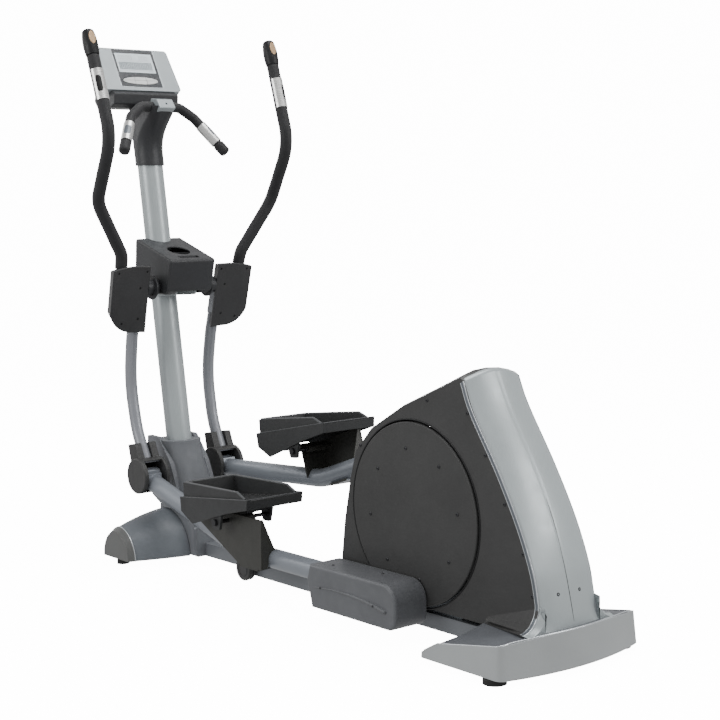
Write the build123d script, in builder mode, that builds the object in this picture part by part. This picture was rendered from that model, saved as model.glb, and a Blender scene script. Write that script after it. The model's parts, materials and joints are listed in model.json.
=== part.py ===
"""Rear-drive elliptical trainer, built as separate pieces.

+X points to the rear drive housing, +Y to the user's right, +Z up, in millimetres.
The origin is under the middle of the machine, on the floor.  The arms, the links and
the crank stand part-way round a stride, with the left crank pin near the bottom.
"""

import os
from math import atan2, cos, degrees, radians, sin

from build123d import *

# ---- driving dimensions -------------------------------------------------------------
MIDDLE_X = -25.7             # the machine's middle, in the X that all the drawing is made in
SIDES = (("left", -1), ("right", 1))

CRANK_X, CRANK_Z = 502, 332
CRANK_THROW = 205
CRANK_PHASE = 6.4          # degrees the left pin has gone past the bottom, to the rear
DISC_RADIUS = 246
DISC_INNER, DISC_FACE = 93, 104

ARM_AXLE_X, ARM_AXLE_Z = -765, 897
ARM_AXLE_RADIUS = 15
ARM_SWING = 1.55           # degrees each arm stands off its middle position
LOWER_PIVOT_X, LOWER_PIVOT_Z = -752, 289
LINK_Y = 157               # middle plane of a link and of a lower arm

MAST_RADIUS = 42
MAST_FOOT_X = -739         # where the mast's axis meets the floor
MAST_LEAN = 0.141          # how far the mast leans forward for each unit of height

SHELL_HALF = 99            # half width of the drive housing
SHELL_WALL = 4
SHELL_BOTTOM = 86
RUN_FIT = 0.05             # radial clearance of running shafts
FLYWHEEL_X, FLYWHEEL_Z = 662, 560
DRIVE_PULLEY_RADIUS, FLYWHEEL_PULLEY_RADIUS = 190, 25
KNOB_X, KNOB_Z, KNOB_RADIUS = -296, 44, 36

CONSOLE_X, CONSOLE_Z = -945, 1545   # middle of the console face's lower edge
CONSOLE_TILT = 28                   # degrees the face leans back

os.makedirs("parts", exist_ok=True)


# ---- shared helpers -----------------------------------------------------------------
def save(piece, name):
    """Label one finished piece and write it, from the middle of the machine."""
    piece = piece.moved(Location((-MIDDLE_X, 0, 0)))
    piece.label = name
    export_step(piece, f"parts/{name}.step")


def side_plane(y):
    """Upright plane at one Y, whose sketch axes are X and Z; extrusion goes to -Y."""
    return Plane.XZ.offset(-y)


def span(sign, inner, outer):
    """Low and high Y of what lies between two distances from the middle plane."""
    return sorted((sign * inner, sign * outer))


def plate(outline, low, high, corner=0.0):
    """Flat piece with an outline in X and Z, between two values of Y."""
    with BuildPart() as piece:
        with BuildSketch(side_plane(high)) as face:
            with BuildLine():
                Polyline(*outline, close=True)
            make_face()
            if corner:
                fillet(face.vertices(), corner)
        extrude(amount=high - low)
    return piece.part


def disc(x, z, radius, low, high, bore=0.0):
    """Round piece about an axis along Y, with an optional bore."""
    with BuildPart() as piece:
        with BuildSketch(side_plane(high)):
            with Locations((x, z)):
                Circle(radius)
                if bore:
                    Circle(bore, mode=Mode.SUBTRACT)
        extrude(amount=high - low)
    return piece.part


def block(low, high, wall=0.0, open_axis=None):
    """Box between two corners; with a wall it is a tube open along one axis."""
    size = [b - a for a, b in zip(low, high)]
    middle = [(a + b) / 2 for a, b in zip(low, high)]
    with BuildPart() as piece:
        with Locations(tuple(middle)):
            Box(*size)
            if wall:
                hollow = [s - 2 * wall if i != open_axis else s for i, s in enumerate(size)]
                Box(*hollow, mode=Mode.SUBTRACT)
    return piece.part


def swept(points, radii, *, tube_radius, bore=0.0):
    """Round bar along straight runs joined by tangent arcs."""
    with BuildPart() as piece:
        with BuildLine() as path:
            FilletPolyline(*points, radius=radii)
        with BuildSketch(Plane(origin=path.line @ 0, z_dir=path.line % 0)):
            Circle(tube_radius)
            if bore:
                Circle(bore, mode=Mode.SUBTRACT)
        sweep(path=path.line)
    return piece.part


def joined(*pieces):
    """One piece made of several that are welded or moulded together."""
    with BuildPart() as whole:
        for piece in pieces:
            add(piece)
    return whole.part


def cut(piece, *tools):
    """A piece less the space of some others."""
    with BuildPart() as rest:
        add(piece)
        for tool in tools:
            add(tool, mode=Mode.SUBTRACT)
    return rest.part


def group(pieces):
    """Separate solids that share one node."""
    return Compound([solid for piece in pieces for solid in piece.solids()])


def mirrored(piece):
    """The same piece for the other side of the machine."""
    return mirror(piece, about=Plane.XZ)


def pair(piece):
    """A piece and its mirror image, in one node."""
    return group([piece, mirrored(piece)])


def mast_x(z):
    """X of the mast's axis at a height."""
    return MAST_FOOT_X - MAST_LEAN * z


def mast_bar(radius, low_z, high_z):
    """Round bar on the mast's axis between two heights."""
    axis_plane = Plane(origin=(mast_x(low_z), 0, low_z), x_dir=(0, 1, 0), z_dir=(-MAST_LEAN, 0, 1))
    with BuildPart() as bar:
        with BuildSketch(axis_plane):
            Circle(radius)
        extrude(amount=(high_z - low_z) * (1 + MAST_LEAN**2) ** 0.5)
    return bar.part


def turned(x, z, about_x, about_z, angle):
    """A point turned about an axis along Y, by degrees."""
    c, s = cos(radians(angle)), sin(radians(angle))
    dx, dz = x - about_x, z - about_z
    return about_x + c * dx + s * dz, about_z - s * dx + c * dz


# ---- front base and mast ------------------------------------------------------------
CROSS_TUBE_X = (-823, -743)
CROSS_TUBE_Z = (22, 72)
CROSS_TUBE_HALF = 236
FRONT_RAIL_HALF, FRONT_RAIL_Z = 35, (24, 66)
RAIL_JOINT_X = -308
FLANGE_X = (-612, -600)


def front_frame():
    """Cross tube, front rail and the flange round it, welded."""
    tube = block((CROSS_TUBE_X[0], -CROSS_TUBE_HALF, CROSS_TUBE_Z[0]),
                 (CROSS_TUBE_X[1], CROSS_TUBE_HALF, CROSS_TUBE_Z[1]), wall=3, open_axis=1)
    rail = block((CROSS_TUBE_X[1], -FRONT_RAIL_HALF, FRONT_RAIL_Z[0]),
                 (RAIL_JOINT_X, FRONT_RAIL_HALF, FRONT_RAIL_Z[1]), wall=3, open_axis=0)
    mast_pad = block((CROSS_TUBE_X[1], -45, FRONT_RAIL_Z[1]), (CROSS_TUBE_X[1] + 48, 45, CROSS_TUBE_Z[1]))
    with BuildPart() as flange:
        with BuildSketch(Plane.YZ.offset(FLANGE_X[0])):
            with Locations((0, 73)):
                RectangleRounded(140, 98, 8)
            with Locations((0, sum(FRONT_RAIL_Z) / 2)):
                Rectangle(2 * FRONT_RAIL_HALF, FRONT_RAIL_Z[1] - FRONT_RAIL_Z[0], mode=Mode.SUBTRACT)
        extrude(amount=FLANGE_X[1] - FLANGE_X[0])
    return joined(tube, rail, mast_pad, flange.part)


# Cross-sections of the front cover: distance out, then rear foot, rear shoulder, top,
# front shoulder and front foot as X and Z.
FRONT_SECTIONS = (
    (66, (-643, 22), (-688, 124), (-765, 163), (-868, 124), (-905, 22)),
    (150, (-664, 22), (-700, 112), (-775, 148), (-860, 112), (-888, 22)),
    (240, (-697, 22), (-718, 84), (-790, 121), (-850, 84), (-868, 22)),
)


def front_section(points, inset=0.0):
    """Flat outline of one arched section, drawn inside the points by the inset."""
    rear, rear_mid, top, front_mid, front = points
    rear = (rear[0] - inset, rear[1])
    rear_mid = (rear_mid[0] - 0.8 * inset, rear_mid[1] - 0.7 * inset)
    top = (top[0], top[1] - inset)
    front_mid = (front_mid[0] + 0.8 * inset, front_mid[1] - 0.7 * inset)
    front = (front[0] + inset, front[1])
    with BuildSketch() as section:
        with BuildLine():
            ThreePointArc(rear, rear_mid, top)
            ThreePointArc(top, front_mid, front)
            Line(front, rear)
        make_face()
    return section.sketch


def front_cover():
    """Right half of the cover over the front cross tube, an arched shell."""
    with BuildPart() as outer:
        for out, *points in FRONT_SECTIONS:
            with BuildSketch(side_plane(out)):
                add(front_section(points))
        loft()
    with BuildPart() as inner:
        for out, *points in FRONT_SECTIONS:
            with BuildSketch(side_plane(out + 0.02 * (out - 150))):
                add(front_section(points, inset=3))
        loft()
    return cut(outer.part, inner.part)


def front_end_cap():
    """Right end cap of the front base, its outer face leaning in towards the top."""
    out, *points = FRONT_SECTIONS[-1]
    with BuildPart() as cap:
        with BuildSketch(side_plane(out + 22)):
            add(front_section([(x, z - 1) for x, z in points], inset=9))
        with BuildSketch(side_plane(out + 1)):
            add(front_section(points, inset=-2))
        loft()
    return cap.part


# Mast boot: height, front X, rear X, half width and corner radius of each level.
BOOT_LEVELS = (
    (24, -836, -620, 63, 10),
    (120, -838, -626, 64, 22),
    (210, -846, -655, 66, 40),
    (300, -856, -700, 69, 58),
    (386, -868, -728, 71, 62),
)


def boot_body(inset=0.0):
    """Solid of the boot, smaller all round by the inset."""
    with BuildPart() as body:
        for z, front, rear, half, corner in BOOT_LEVELS:
            height = z if z < 300 or not inset else z - inset * (z - 300) / 86
            with BuildSketch(Plane.XY.offset(height)):
                with Locations(((front + rear) / 2, 0)):
                    RectangleRounded(rear - front - 2 * inset, 2 * (half - inset), corner - inset)
        loft()
    return body.part


def mast_boot():
    """Moulded boot round the foot of the mast."""
    tube_slot = block((CROSS_TUBE_X[0] - 1, -80, 20), (CROSS_TUBE_X[1] + 1, 80, CROSS_TUBE_Z[1] + 1))
    rail_slot = block((CROSS_TUBE_X[1], -FRONT_RAIL_HALF - 1, 20), (-600, FRONT_RAIL_HALF + 1, 67))
    return cut(boot_body(), boot_body(inset=3), mast_bar(MAST_RADIUS + 0.5, 60, 420),
               tube_slot, rail_slot)


BOOT_PLATE_HALF = 76
BOOT_PLATE = ((-872, 350), (-868, 398), (-800, 396), (-770, 362), (-734, 318), (-712, 272),
              (-694, 226), (-672, 166), (-780, 166), (-850, 200))


def boot_side_plate():
    """Right panel on the boot's flank, its back shaped to the boot."""
    return cut(plate(BOOT_PLATE, 60, BOOT_PLATE_HALF, corner=5), boot_body())


def mast_tube():
    """Leaning mast with the two plates that hold the arm axle."""
    plate_outline = ((-880, 940), (-724, 925), (-724, 868), (-880, 860))
    with BuildPart() as tube:
        add(mast_bar(MAST_RADIUS, 55, 1400))
        for sign in (-1, 1):
            low, high = span(sign, 33, 41)
            add(plate(plate_outline, low, high, corner=12))
        add(mast_bar(MAST_RADIUS - 3.5, 40, 1420), mode=Mode.SUBTRACT)
        add(disc(ARM_AXLE_X, ARM_AXLE_Z, ARM_AXLE_RADIUS, -60, 60), mode=Mode.SUBTRACT)
        split(bisect_by=Plane.XY.offset(CROSS_TUBE_Z[1]), keep=Keep.TOP)
    return tube.part


# Neck cover: height, front X, rear X, half width and corner radius of each level.
NECK_LEVELS = (
    (1295, -970, -875, 47, 46),
    (1330, -975, -880, 47, 46),
    (1395, -985, -872, 47, 44),
    (1445, -990, -836, 45, 34),
    (1486, -990, -806, 43, 24),
)


def neck_cover():
    """Moulding that carries the console and the fixed bar on top of the mast."""
    with BuildPart() as neck:
        for z, front, rear, half, corner in NECK_LEVELS:
            with BuildSketch(Plane.XY.offset(z)):
                with Locations(((front + rear) / 2, 0)):
                    RectangleRounded(rear - front, 2 * half, corner)
        loft()
    return cut(neck.part, mast_bar(MAST_RADIUS + 0.2, 1280, 1402), bar_solid(0.2))


# ---- console ------------------------------------------------------------------------
FACE_PLANE = Plane(origin=(CONSOLE_X, 0, CONSOLE_Z), x_dir=(0, 1, 0),
                   z_dir=(cos(radians(CONSOLE_TILT)), 0, sin(radians(CONSOLE_TILT))))
FACE_HEIGHT = 162
FACE_HALF_LOW, FACE_HALF_HIGH = 149, 137
SCREEN_HALF, SCREEN_LOW, SCREEN_HIGH = 71, 70, 145
PANEL_HALF, PANEL_LOW, PANEL_HIGH = 79, 14, 158
RECESS = 2.5
KEY_ROW_V = 38
KEY_HALF_W, KEY_HALF_H = 68, 15
KEY_GAP = 1.2
KEY_SPLIT = 22             # half width of the middle key


def face_outline(low_half, high_half, low, high, corner):
    """Rounded four-sided outline, across and up the console's face."""
    with BuildSketch() as face:
        with BuildLine():
            Polyline((-low_half, low), (low_half, low), (high_half, high), (-high_half, high),
                     close=True)
        make_face()
        fillet(face.vertices(), corner)
    return face.sketch


def console_shell():
    """Console body, with a shallow recess for its panel."""
    with BuildPart() as shell:
        with BuildSketch(FACE_PLANE):
            add(face_outline(FACE_HALF_LOW, FACE_HALF_HIGH, 0, FACE_HEIGHT, 12))
        with BuildSketch(FACE_PLANE.offset(-28)):
            add(face_outline(FACE_HALF_LOW + 3, FACE_HALF_HIGH + 3, -3, FACE_HEIGHT + 3, 16))
        with BuildSketch(FACE_PLANE.offset(-62)):
            add(face_outline(96, 92, 22, FACE_HEIGHT - 22, 16))
        loft(ruled=True)
        with BuildSketch(FACE_PLANE.offset(-RECESS)):
            add(face_outline(PANEL_HALF, PANEL_HALF, PANEL_LOW, PANEL_HIGH, 4))
        extrude(amount=10, mode=Mode.SUBTRACT)
        with BuildSketch(FACE_PLANE.offset(-6)):
            with Locations((0, (SCREEN_LOW + SCREEN_HIGH) / 2)):
                Rectangle(2 * SCREEN_HALF, SCREEN_HIGH - SCREEN_LOW)
            with Locations((0, KEY_ROW_V)):
                Ellipse(KEY_HALF_W, KEY_HALF_H)
        extrude(amount=10, mode=Mode.SUBTRACT)
    return shell.part


def console_panel():
    """Dark overlay round the screen and the keys."""
    with BuildPart() as panel:
        with BuildSketch(FACE_PLANE.offset(-RECESS)):
            add(face_outline(PANEL_HALF - 0.3, PANEL_HALF - 0.3, PANEL_LOW + 0.3, PANEL_HIGH - 0.3, 4))
            with Locations((0, (SCREEN_LOW + SCREEN_HIGH) / 2)):
                Rectangle(2 * SCREEN_HALF, SCREEN_HIGH - SCREEN_LOW, mode=Mode.SUBTRACT)
            with Locations((0, KEY_ROW_V)):
                Ellipse(KEY_HALF_W, KEY_HALF_H, mode=Mode.SUBTRACT)
        extrude(amount=RECESS - 0.3)
    return panel.part


def console_screen():
    """Display, set into the panel."""
    with BuildPart() as screen:
        with BuildSketch(FACE_PLANE.offset(-6)):
            with Locations((0, (SCREEN_LOW + SCREEN_HIGH) / 2)):
                Rectangle(2 * SCREEN_HALF, SCREEN_HIGH - SCREEN_LOW)
        extrude(amount=5)
    return screen.part


def console_key(low_u, high_u):
    """One rocker key of the oval cluster, between two distances across the face."""
    with BuildPart() as key:
        with BuildSketch(FACE_PLANE.offset(-3.6)):
            with Locations((0, KEY_ROW_V)):
                Ellipse(KEY_HALF_W - KEY_GAP, KEY_HALF_H - KEY_GAP)
            with Locations(((low_u + high_u) / 2, KEY_ROW_V)):
                Rectangle(high_u - low_u, 2 * KEY_HALF_H, mode=Mode.INTERSECT)
        extrude(amount=4.2)
        rocker_groove = Plane(FACE_PLANE.origin + FACE_PLANE.y_dir * KEY_ROW_V + FACE_PLANE.z_dir * 0.6,
                              x_dir=FACE_PLANE.y_dir, z_dir=FACE_PLANE.x_dir)
        with BuildSketch(rocker_groove):
            Circle(1.2)
        extrude(amount=KEY_HALF_W, both=True, mode=Mode.SUBTRACT)
    return key.part


def console_tray():
    """Dark ledge and under-body below the console's face."""
    outline = ((-946, 1541), (-926, 1532), (-930, 1497), (-952, 1486), (-1042, 1486), (-1062, 1512),
               (-1050, 1562), (-1000, 1573))
    with BuildPart() as tray:
        add(plate(outline, -124, 124))
        fillet(tray.edges().filter_by(Axis.Y), 5)
        fillet(tray.faces().filter_by(Axis.Y).edges(), 4)
        with BuildSketch(FACE_PLANE.offset(-100)):
            add(face_outline(FACE_HALF_LOW + 8, FACE_HALF_HIGH + 8, -3.2, FACE_HEIGHT + 6, 2))
        extrude(amount=130, mode=Mode.SUBTRACT)
    return cut(tray.part, bar_solid(0.2))


# ---- fixed bar ----------------------------------------------------------------------
BAR_RADIUS = 16.5
BAR_POINTS = ((-757, 197, 1330), (-833, 121, 1449), (-848, 72, 1484))


def bar_solid(extra=0.0):
    """Fixed bar, thicker all round by the extra."""
    right = [Vector(*point) for point in BAR_POINTS]
    left = [Vector(v.X, -v.Y, v.Z) for v in right]
    return swept([*left, *reversed(right)], [34, 40, 40, 34], tube_radius=BAR_RADIUS + extra)


def fixed_handlebar():
    """Foam-covered fixed bar, rounded at its ends."""
    with BuildPart() as bar:
        add(bar_solid())
        fillet(bar.faces().sort_by(Axis.Z)[:2].edges(), 9)
    return bar.part


def fixed_pulse_plate():
    """Right pulse plate, a sleeve over the straight run of the fixed bar."""
    low, high = Vector(*BAR_POINTS[0]), Vector(*BAR_POINTS[1])
    along = (high - low).normalized()
    length = 78
    start = low + along * 48
    plane = Plane(origin=start, z_dir=along)
    with BuildPart() as sleeve:
        with BuildSketch(plane):
            Circle(BAR_RADIUS + 2)
            Circle(BAR_RADIUS + 0.3, mode=Mode.SUBTRACT)
        extrude(amount=length)
    return sleeve.part


def handlebar_clamp():
    """Cap that holds the fixed bar on the neck, with its bolt hole."""
    outline = ((-858, 1512), (-820, 1508), (-798, 1478), (-820, 1466), (-862, 1466))
    with BuildPart() as clamp:
        add(plate(outline, -30, 30))
        fillet(clamp.edges().filter_by(Axis.Y), 5)
        fillet(clamp.faces().filter_by(Axis.Y).edges(), 2)
        add(bar_solid(0.2), mode=Mode.SUBTRACT)
        with BuildSketch(Plane(origin=(-809, 0, 1493), z_dir=(0.8, 0, 0.6))):
            Circle(4)
        extrude(amount=8, both=True, mode=Mode.SUBTRACT)
    return cut(clamp.part, neck_cover())


# ---- bottle holder and arm axle -----------------------------------------------------
HOLDER_HALF = 86
CUP_X, CUP_RADIUS, CUP_FLOOR = -762, 37.5, 944
HOLDER_OUTLINE = ((-890, 1056), (-674, 984), (-700, 884), (-722, 872), (-905, 880))


def bottle_holder():
    """Shell round the mast and the arm axle, with a cup and a small tray in its top."""
    with BuildPart() as outer:
        add(plate(HOLDER_OUTLINE, -HOLDER_HALF, HOLDER_HALF))
        fillet(outer.edges().filter_by(Axis.Y), 10)
        fillet(outer.faces().filter_by(Axis.Y).edges(), 6)
    with BuildPart() as inner:
        with BuildSketch(side_plane(HOLDER_HALF - 4)):
            with BuildLine():
                Polyline(*HOLDER_OUTLINE, close=True)
            make_face()
            offset(amount=-4)
        extrude(amount=2 * (HOLDER_HALF - 4))
    with BuildPart() as holder:
        add(outer.part)
        add(inner.part, mode=Mode.SUBTRACT)
        with BuildSketch(Plane.XY.offset(CUP_FLOOR - 4)):
            with Locations((CUP_X, 0)):
                Circle(CUP_RADIUS + 3)
        extrude(amount=66)
        with BuildSketch(Plane.XY.offset(CUP_FLOOR)):
            with Locations((CUP_X, 0)):
                Circle(CUP_RADIUS)
        extrude(amount=130, mode=Mode.SUBTRACT)
        add(block((-716, -42, 974), (-688, 42, 1030)))
        add(block((-712, -38, 978), (-692, 38, 1100)), mode=Mode.SUBTRACT)
        add(mast_bar(MAST_RADIUS + 0.3, 840, 1100), mode=Mode.SUBTRACT)
        add(disc(ARM_AXLE_X, ARM_AXLE_Z, ARM_AXLE_RADIUS + 3, -90, 90), mode=Mode.SUBTRACT)
        add(block((-910, -45, 860), (-704, 45, 892)), mode=Mode.SUBTRACT)
    with BuildPart() as trimmed:
        add(holder.part)
        add(plate(HOLDER_OUTLINE, -HOLDER_HALF, HOLDER_HALF), mode=Mode.INTERSECT)
    return trimmed.part


def arm_axle():
    """Axle of both swing arms, with a collar by each side of the holder."""
    with BuildPart() as axle:
        add(disc(ARM_AXLE_X, ARM_AXLE_Z, ARM_AXLE_RADIUS, -128, 128))
        fillet(axle.faces().filter_by(Axis.Y).edges(), 2)
    return axle.part


# ---- swing arms ---------------------------------------------------------------------
HANDLE_Y = 328
HANDLE_POINTS = ((-765, 222, 905), (-736, 228, 1005), (-700, HANDLE_Y, 1172), (-598, HANDLE_Y, 1362),
                 (-692, HANDLE_Y, 1650))
HANDLE_RADII = (60, 110, 150)
LOWER_POINTS = ((-790, LINK_Y, 830), (-818, LINK_Y, 730), (-842, LINK_Y, 590), (-812, LINK_Y, 430),
                (-764, LINK_Y, 333))
LOWER_RADII = (300, 420, 300)
STEEL_RADIUS, GRIP_RADIUS, LOWER_RADIUS = 16, 20, 19.5
COVER_TILT = 14.5
COVER_TOP_X, COVER_TOP_Z = -722, 966
COVER_INNER, COVER_OUTER, COVER_LENGTH, COVER_DEPTH = 131, 266, 222, 46
COVER_TAPER = 19
HUB_RADIUS, HUB_INNER = 27, 90
DRUM_RADIUS, DRUM_INNER, DRUM_OUTER = 57.5, 110, 205
PIN_RADIUS = 12
FORK_HALF, FORK_PLATE = 41, 6


def cover_plane():
    """Rear face of the right arm cover: across it runs outboard, up it runs along the arm."""
    tilt = radians(COVER_TILT)
    return Plane(origin=(COVER_TOP_X, 0, COVER_TOP_Z), x_dir=(0, 1, 0),
                 z_dir=(cos(tilt), 0, -sin(tilt)))


def arm_pose(piece, sign):
    """Stand an arm piece at its place in the stride."""
    return piece.rotate(Axis((ARM_AXLE_X, 0, ARM_AXLE_Z), (0, 1, 0)), sign * ARM_SWING)


def right_arm_tube():
    """Handle tube, cross strut, hub and bowed lower tube, welded."""
    handle = swept(HANDLE_POINTS, HANDLE_RADII, tube_radius=STEEL_RADIUS)
    lower = swept(LOWER_POINTS, LOWER_RADII, tube_radius=LOWER_RADIUS)
    strut = plate(((-776, 912), (-744, 912), (-757, 858), (-773, 800), (-806, 800), (-790, 858)),
                  LINK_Y - 22, 240, corner=4)
    hub = disc(ARM_AXLE_X, ARM_AXLE_Z, HUB_RADIUS, HUB_INNER, COVER_INNER)
    hub_end = disc(ARM_AXLE_X, ARM_AXLE_Z, 20, COVER_INNER, LINK_Y + 10)
    bore = disc(ARM_AXLE_X, ARM_AXLE_Z, ARM_AXLE_RADIUS + RUN_FIT, 80, 129)
    flange = disc(ARM_AXLE_X, ARM_AXLE_Z, 40, 104, 109)
    return cut(joined(handle, lower, strut, hub, hub_end, flange, right_fork()), bore)


def right_fork():
    """Fork and pin at the foot of the right arm, which hold the link's eye."""
    cheek = ((-778, 338), (-738, 341), (-732, 289), (-740, 271), (-764, 271), (-772, 289))
    bridge = ((-778, 338), (-778, 331), (-738, 331), (-738, 341))
    low, high = LINK_Y - FORK_HALF, LINK_Y + FORK_HALF
    return joined(plate(cheek, low, low + FORK_PLATE), plate(cheek, high - FORK_PLATE, high),
                  plate(bridge, low, high), disc(LOWER_PIVOT_X, LOWER_PIVOT_Z, PIN_RADIUS, low, high))


def right_handle_grip():
    """Foam sleeve over the handle tube, from the arm cover to the thumb pod."""
    start = Vector(*HANDLE_POINTS[1]) + (Vector(*HANDLE_POINTS[0]) - Vector(*HANDLE_POINTS[1])) * 0.45
    points = [start, *[Vector(*p) for p in HANDLE_POINTS[1:-1]]]
    top = Vector(*HANDLE_POINTS[-1])
    points.append(top + (Vector(*HANDLE_POINTS[-2]) - top).normalized() * 30)
    sleeve = swept(points, HANDLE_RADII, tube_radius=GRIP_RADIUS)
    return cut(sleeve, swept(HANDLE_POINTS, HANDLE_RADII, tube_radius=STEEL_RADIUS))


def handle_axis():
    """Top of the straight upper run of the handle, and its direction."""
    low, top = Vector(*HANDLE_POINTS[-2]), Vector(*HANDLE_POINTS[-1])
    return top, (top - low).normalized()


POD_LENGTH = 85
POD_RADIUS = 24
THUMB_PLANE_OUT = 19


def pod_plane(offset_along, offset_out=0.0):
    """Plane on the thumb pod's user side: up it runs along the handle."""
    top, along = handle_axis()
    out = Vector(0, 1, 0).cross(along) * -1
    if out.X < 0:
        out = out * -1
    return Plane(origin=top + along * offset_along + out * offset_out, x_dir=(0, 1, 0), z_dir=out)


def right_handle_pod():
    """Thumb pod on top of the handle, with a flat for its rocker."""
    top, along = handle_axis()
    base = top - along * 30
    with BuildPart() as pod:
        with BuildSketch(Plane(origin=base, z_dir=along)):
            Circle(GRIP_RADIUS + 1)
        with BuildSketch(Plane(origin=base + along * 34, z_dir=along)):
            Circle(POD_RADIUS)
        with BuildSketch(Plane(origin=base + along * POD_LENGTH, z_dir=along)):
            Circle(17)
        loft()
        fillet(pod.faces().sort_by(Axis.Z)[-1].edges(), 12)
        with BuildSketch(Plane(origin=base - along * 2, z_dir=along)):
            Circle(STEEL_RADIUS + 0.01)
        extrude(amount=33, mode=Mode.SUBTRACT)
        with BuildSketch(pod_plane(22, THUMB_PLANE_OUT)):
            Ellipse(14, 24)
        extrude(amount=20, mode=Mode.SUBTRACT)
        with BuildSketch(pod_plane(22, THUMB_PLANE_OUT - 5)):
            Ellipse(12, 22)
        extrude(amount=12, mode=Mode.SUBTRACT)
    return pod.part


def right_thumb_rocker():
    """Oval thumb rocker in the pod."""
    with BuildPart() as rocker:
        with BuildSketch(pod_plane(22, THUMB_PLANE_OUT - 3.6)):
            Ellipse(11, 21)
        extrude(amount=5.4)
        fillet(rocker.faces().sort_by(Axis.X)[-1].edges(), 1.2)
    return rocker.part


def right_pulse_plate():
    """Pulse plate clipped round the upper run of the foam."""
    top, along = handle_axis()
    with BuildPart() as sleeve:
        with BuildSketch(Plane(origin=top - along * 180, z_dir=along)):
            Circle(GRIP_RADIUS + 2)
            Circle(GRIP_RADIUS + 0.01, mode=Mode.SUBTRACT)
        extrude(amount=100)
        out = pod_plane(-130, 4)
        with BuildSketch(out):
            Rectangle(80, 130)
        extrude(amount=-40, mode=Mode.SUBTRACT)
    return sleeve.part


def right_arm_cover():
    """Cover over the joint of handle, hub and lower tube."""
    plane = cover_plane()
    width = COVER_OUTER - COVER_INNER
    with BuildPart() as cover:
        with BuildSketch(plane):
            with BuildLine():
                Line((COVER_INNER, -COVER_LENGTH), (COVER_INNER, 0))
                ThreePointArc((COVER_INNER, 0), (COVER_INNER + width / 2, 2), (COVER_OUTER, -10))
                Line((COVER_OUTER, -10), (COVER_OUTER, -COVER_LENGTH + 62))
                ThreePointArc((COVER_OUTER, -COVER_LENGTH + 62),
                              (COVER_OUTER - 26, -COVER_LENGTH + 24),
                              (COVER_OUTER - 84, -COVER_LENGTH + 3))
                Line((COVER_OUTER - 84, -COVER_LENGTH + 3), (COVER_INNER, -COVER_LENGTH))
            make_face()
        extrude(amount=-COVER_DEPTH, taper=COVER_TAPER)
        fillet(cover.faces().sort_by(Axis.X)[-1].edges(), 4)
    with BuildPart() as hollow:
        with BuildSketch(plane.offset(-4)):
            with BuildLine():
                Polyline((COVER_INNER + 4, -COVER_LENGTH + 4), (COVER_INNER + 4, -4),
                         (COVER_OUTER - 4, -15), (COVER_OUTER - 4, -COVER_LENGTH + 64),
                         (COVER_OUTER - 84, -COVER_LENGTH + 8), close=True)
            make_face()
        extrude(amount=-(COVER_DEPTH - 8), taper=COVER_TAPER)
    handle = swept(HANDLE_POINTS, HANDLE_RADII, tube_radius=GRIP_RADIUS + 0.3)
    lower = swept(LOWER_POINTS, LOWER_RADII, tube_radius=LOWER_RADIUS + 0.3)
    with BuildPart() as holes:
        for across, up in COVER_SCREWS:
            with BuildSketch(plane.offset(1)):
                with Locations((across, up)):
                    Circle(4)
            extrude(amount=-6)
    return cut(cover.part, hollow.part, right_arm_tube(), handle, lower, holes.part)


COVER_SCREWS = ((142, -18), (246, -21), (163, -72), (163, -175), (222, -188))


def right_pivot_shroud():
    """Drum round the lower pivot, open to the rear, with a collar round the tube."""
    drum = disc(LOWER_PIVOT_X, LOWER_PIVOT_Z, DRUM_RADIUS, DRUM_INNER, DRUM_OUTER)
    with BuildPart() as body:
        add(drum)
        fillet(body.faces().filter_by(Axis.Y).edges(), 4)
        for low, high in ((DRUM_INNER + 8, DRUM_INNER + 32), (DRUM_OUTER - 32, DRUM_OUTER - 8)):
            add(plate(((-806, 388), (-766, 394), (-738, 330), (-790, 314)), low, high, corner=3))
        add(plate(((-802, 370), (-774, 374), (-748, 326), (-784, 314)), DRUM_INNER + 20, DRUM_OUTER - 20))
    mouth = plate(((LOWER_PIVOT_X - 20, 246), (LOWER_PIVOT_X + 80, 190), (LOWER_PIVOT_X + 80, 352),
                   (LOWER_PIVOT_X + 26, 338), (LOWER_PIVOT_X - 20, 326)), LINK_Y - 34, LINK_Y + 34)
    chamber = disc(LOWER_PIVOT_X, LOWER_PIVOT_Z, 41, LINK_Y - 34, LINK_Y + 34)
    tube = swept(LOWER_POINTS, LOWER_RADII, tube_radius=LOWER_RADIUS + 0.1)
    return cut(body.part, mouth, chamber, tube, right_fork())


# ---- links and pedals ---------------------------------------------------------------
def arm_pivot(sign):
    """X and Z of an arm's lower pivot."""
    return turned(LOWER_PIVOT_X, LOWER_PIVOT_Z, ARM_AXLE_X, ARM_AXLE_Z, sign * ARM_SWING)


def crank_pin(sign):
    """X and Z of a crank pin; the two are half a turn apart."""
    phase = radians(CRANK_PHASE)
    return CRANK_X - sign * CRANK_THROW * sin(phase), CRANK_Z + sign * CRANK_THROW * cos(phase)


def link_aim(sign):
    """Direction in degrees from an arm's pivot to its crank pin."""
    (px, pz), (cx, cz) = arm_pivot(sign), crank_pin(sign)
    return degrees(atan2(cz - pz, cx - px))


def link_pose(piece, sign):
    """Place a link piece, which is drawn about the left arm's lower pivot."""
    from_x, from_z = arm_pivot(-1)
    to_x, to_z = arm_pivot(sign)
    swung = piece.rotate(Axis((from_x, 0, from_z), (0, 1, 0)), link_aim(-1) - link_aim(sign))
    return swung.moved(Location((to_x - from_x, 0, to_z - from_z)))


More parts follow.
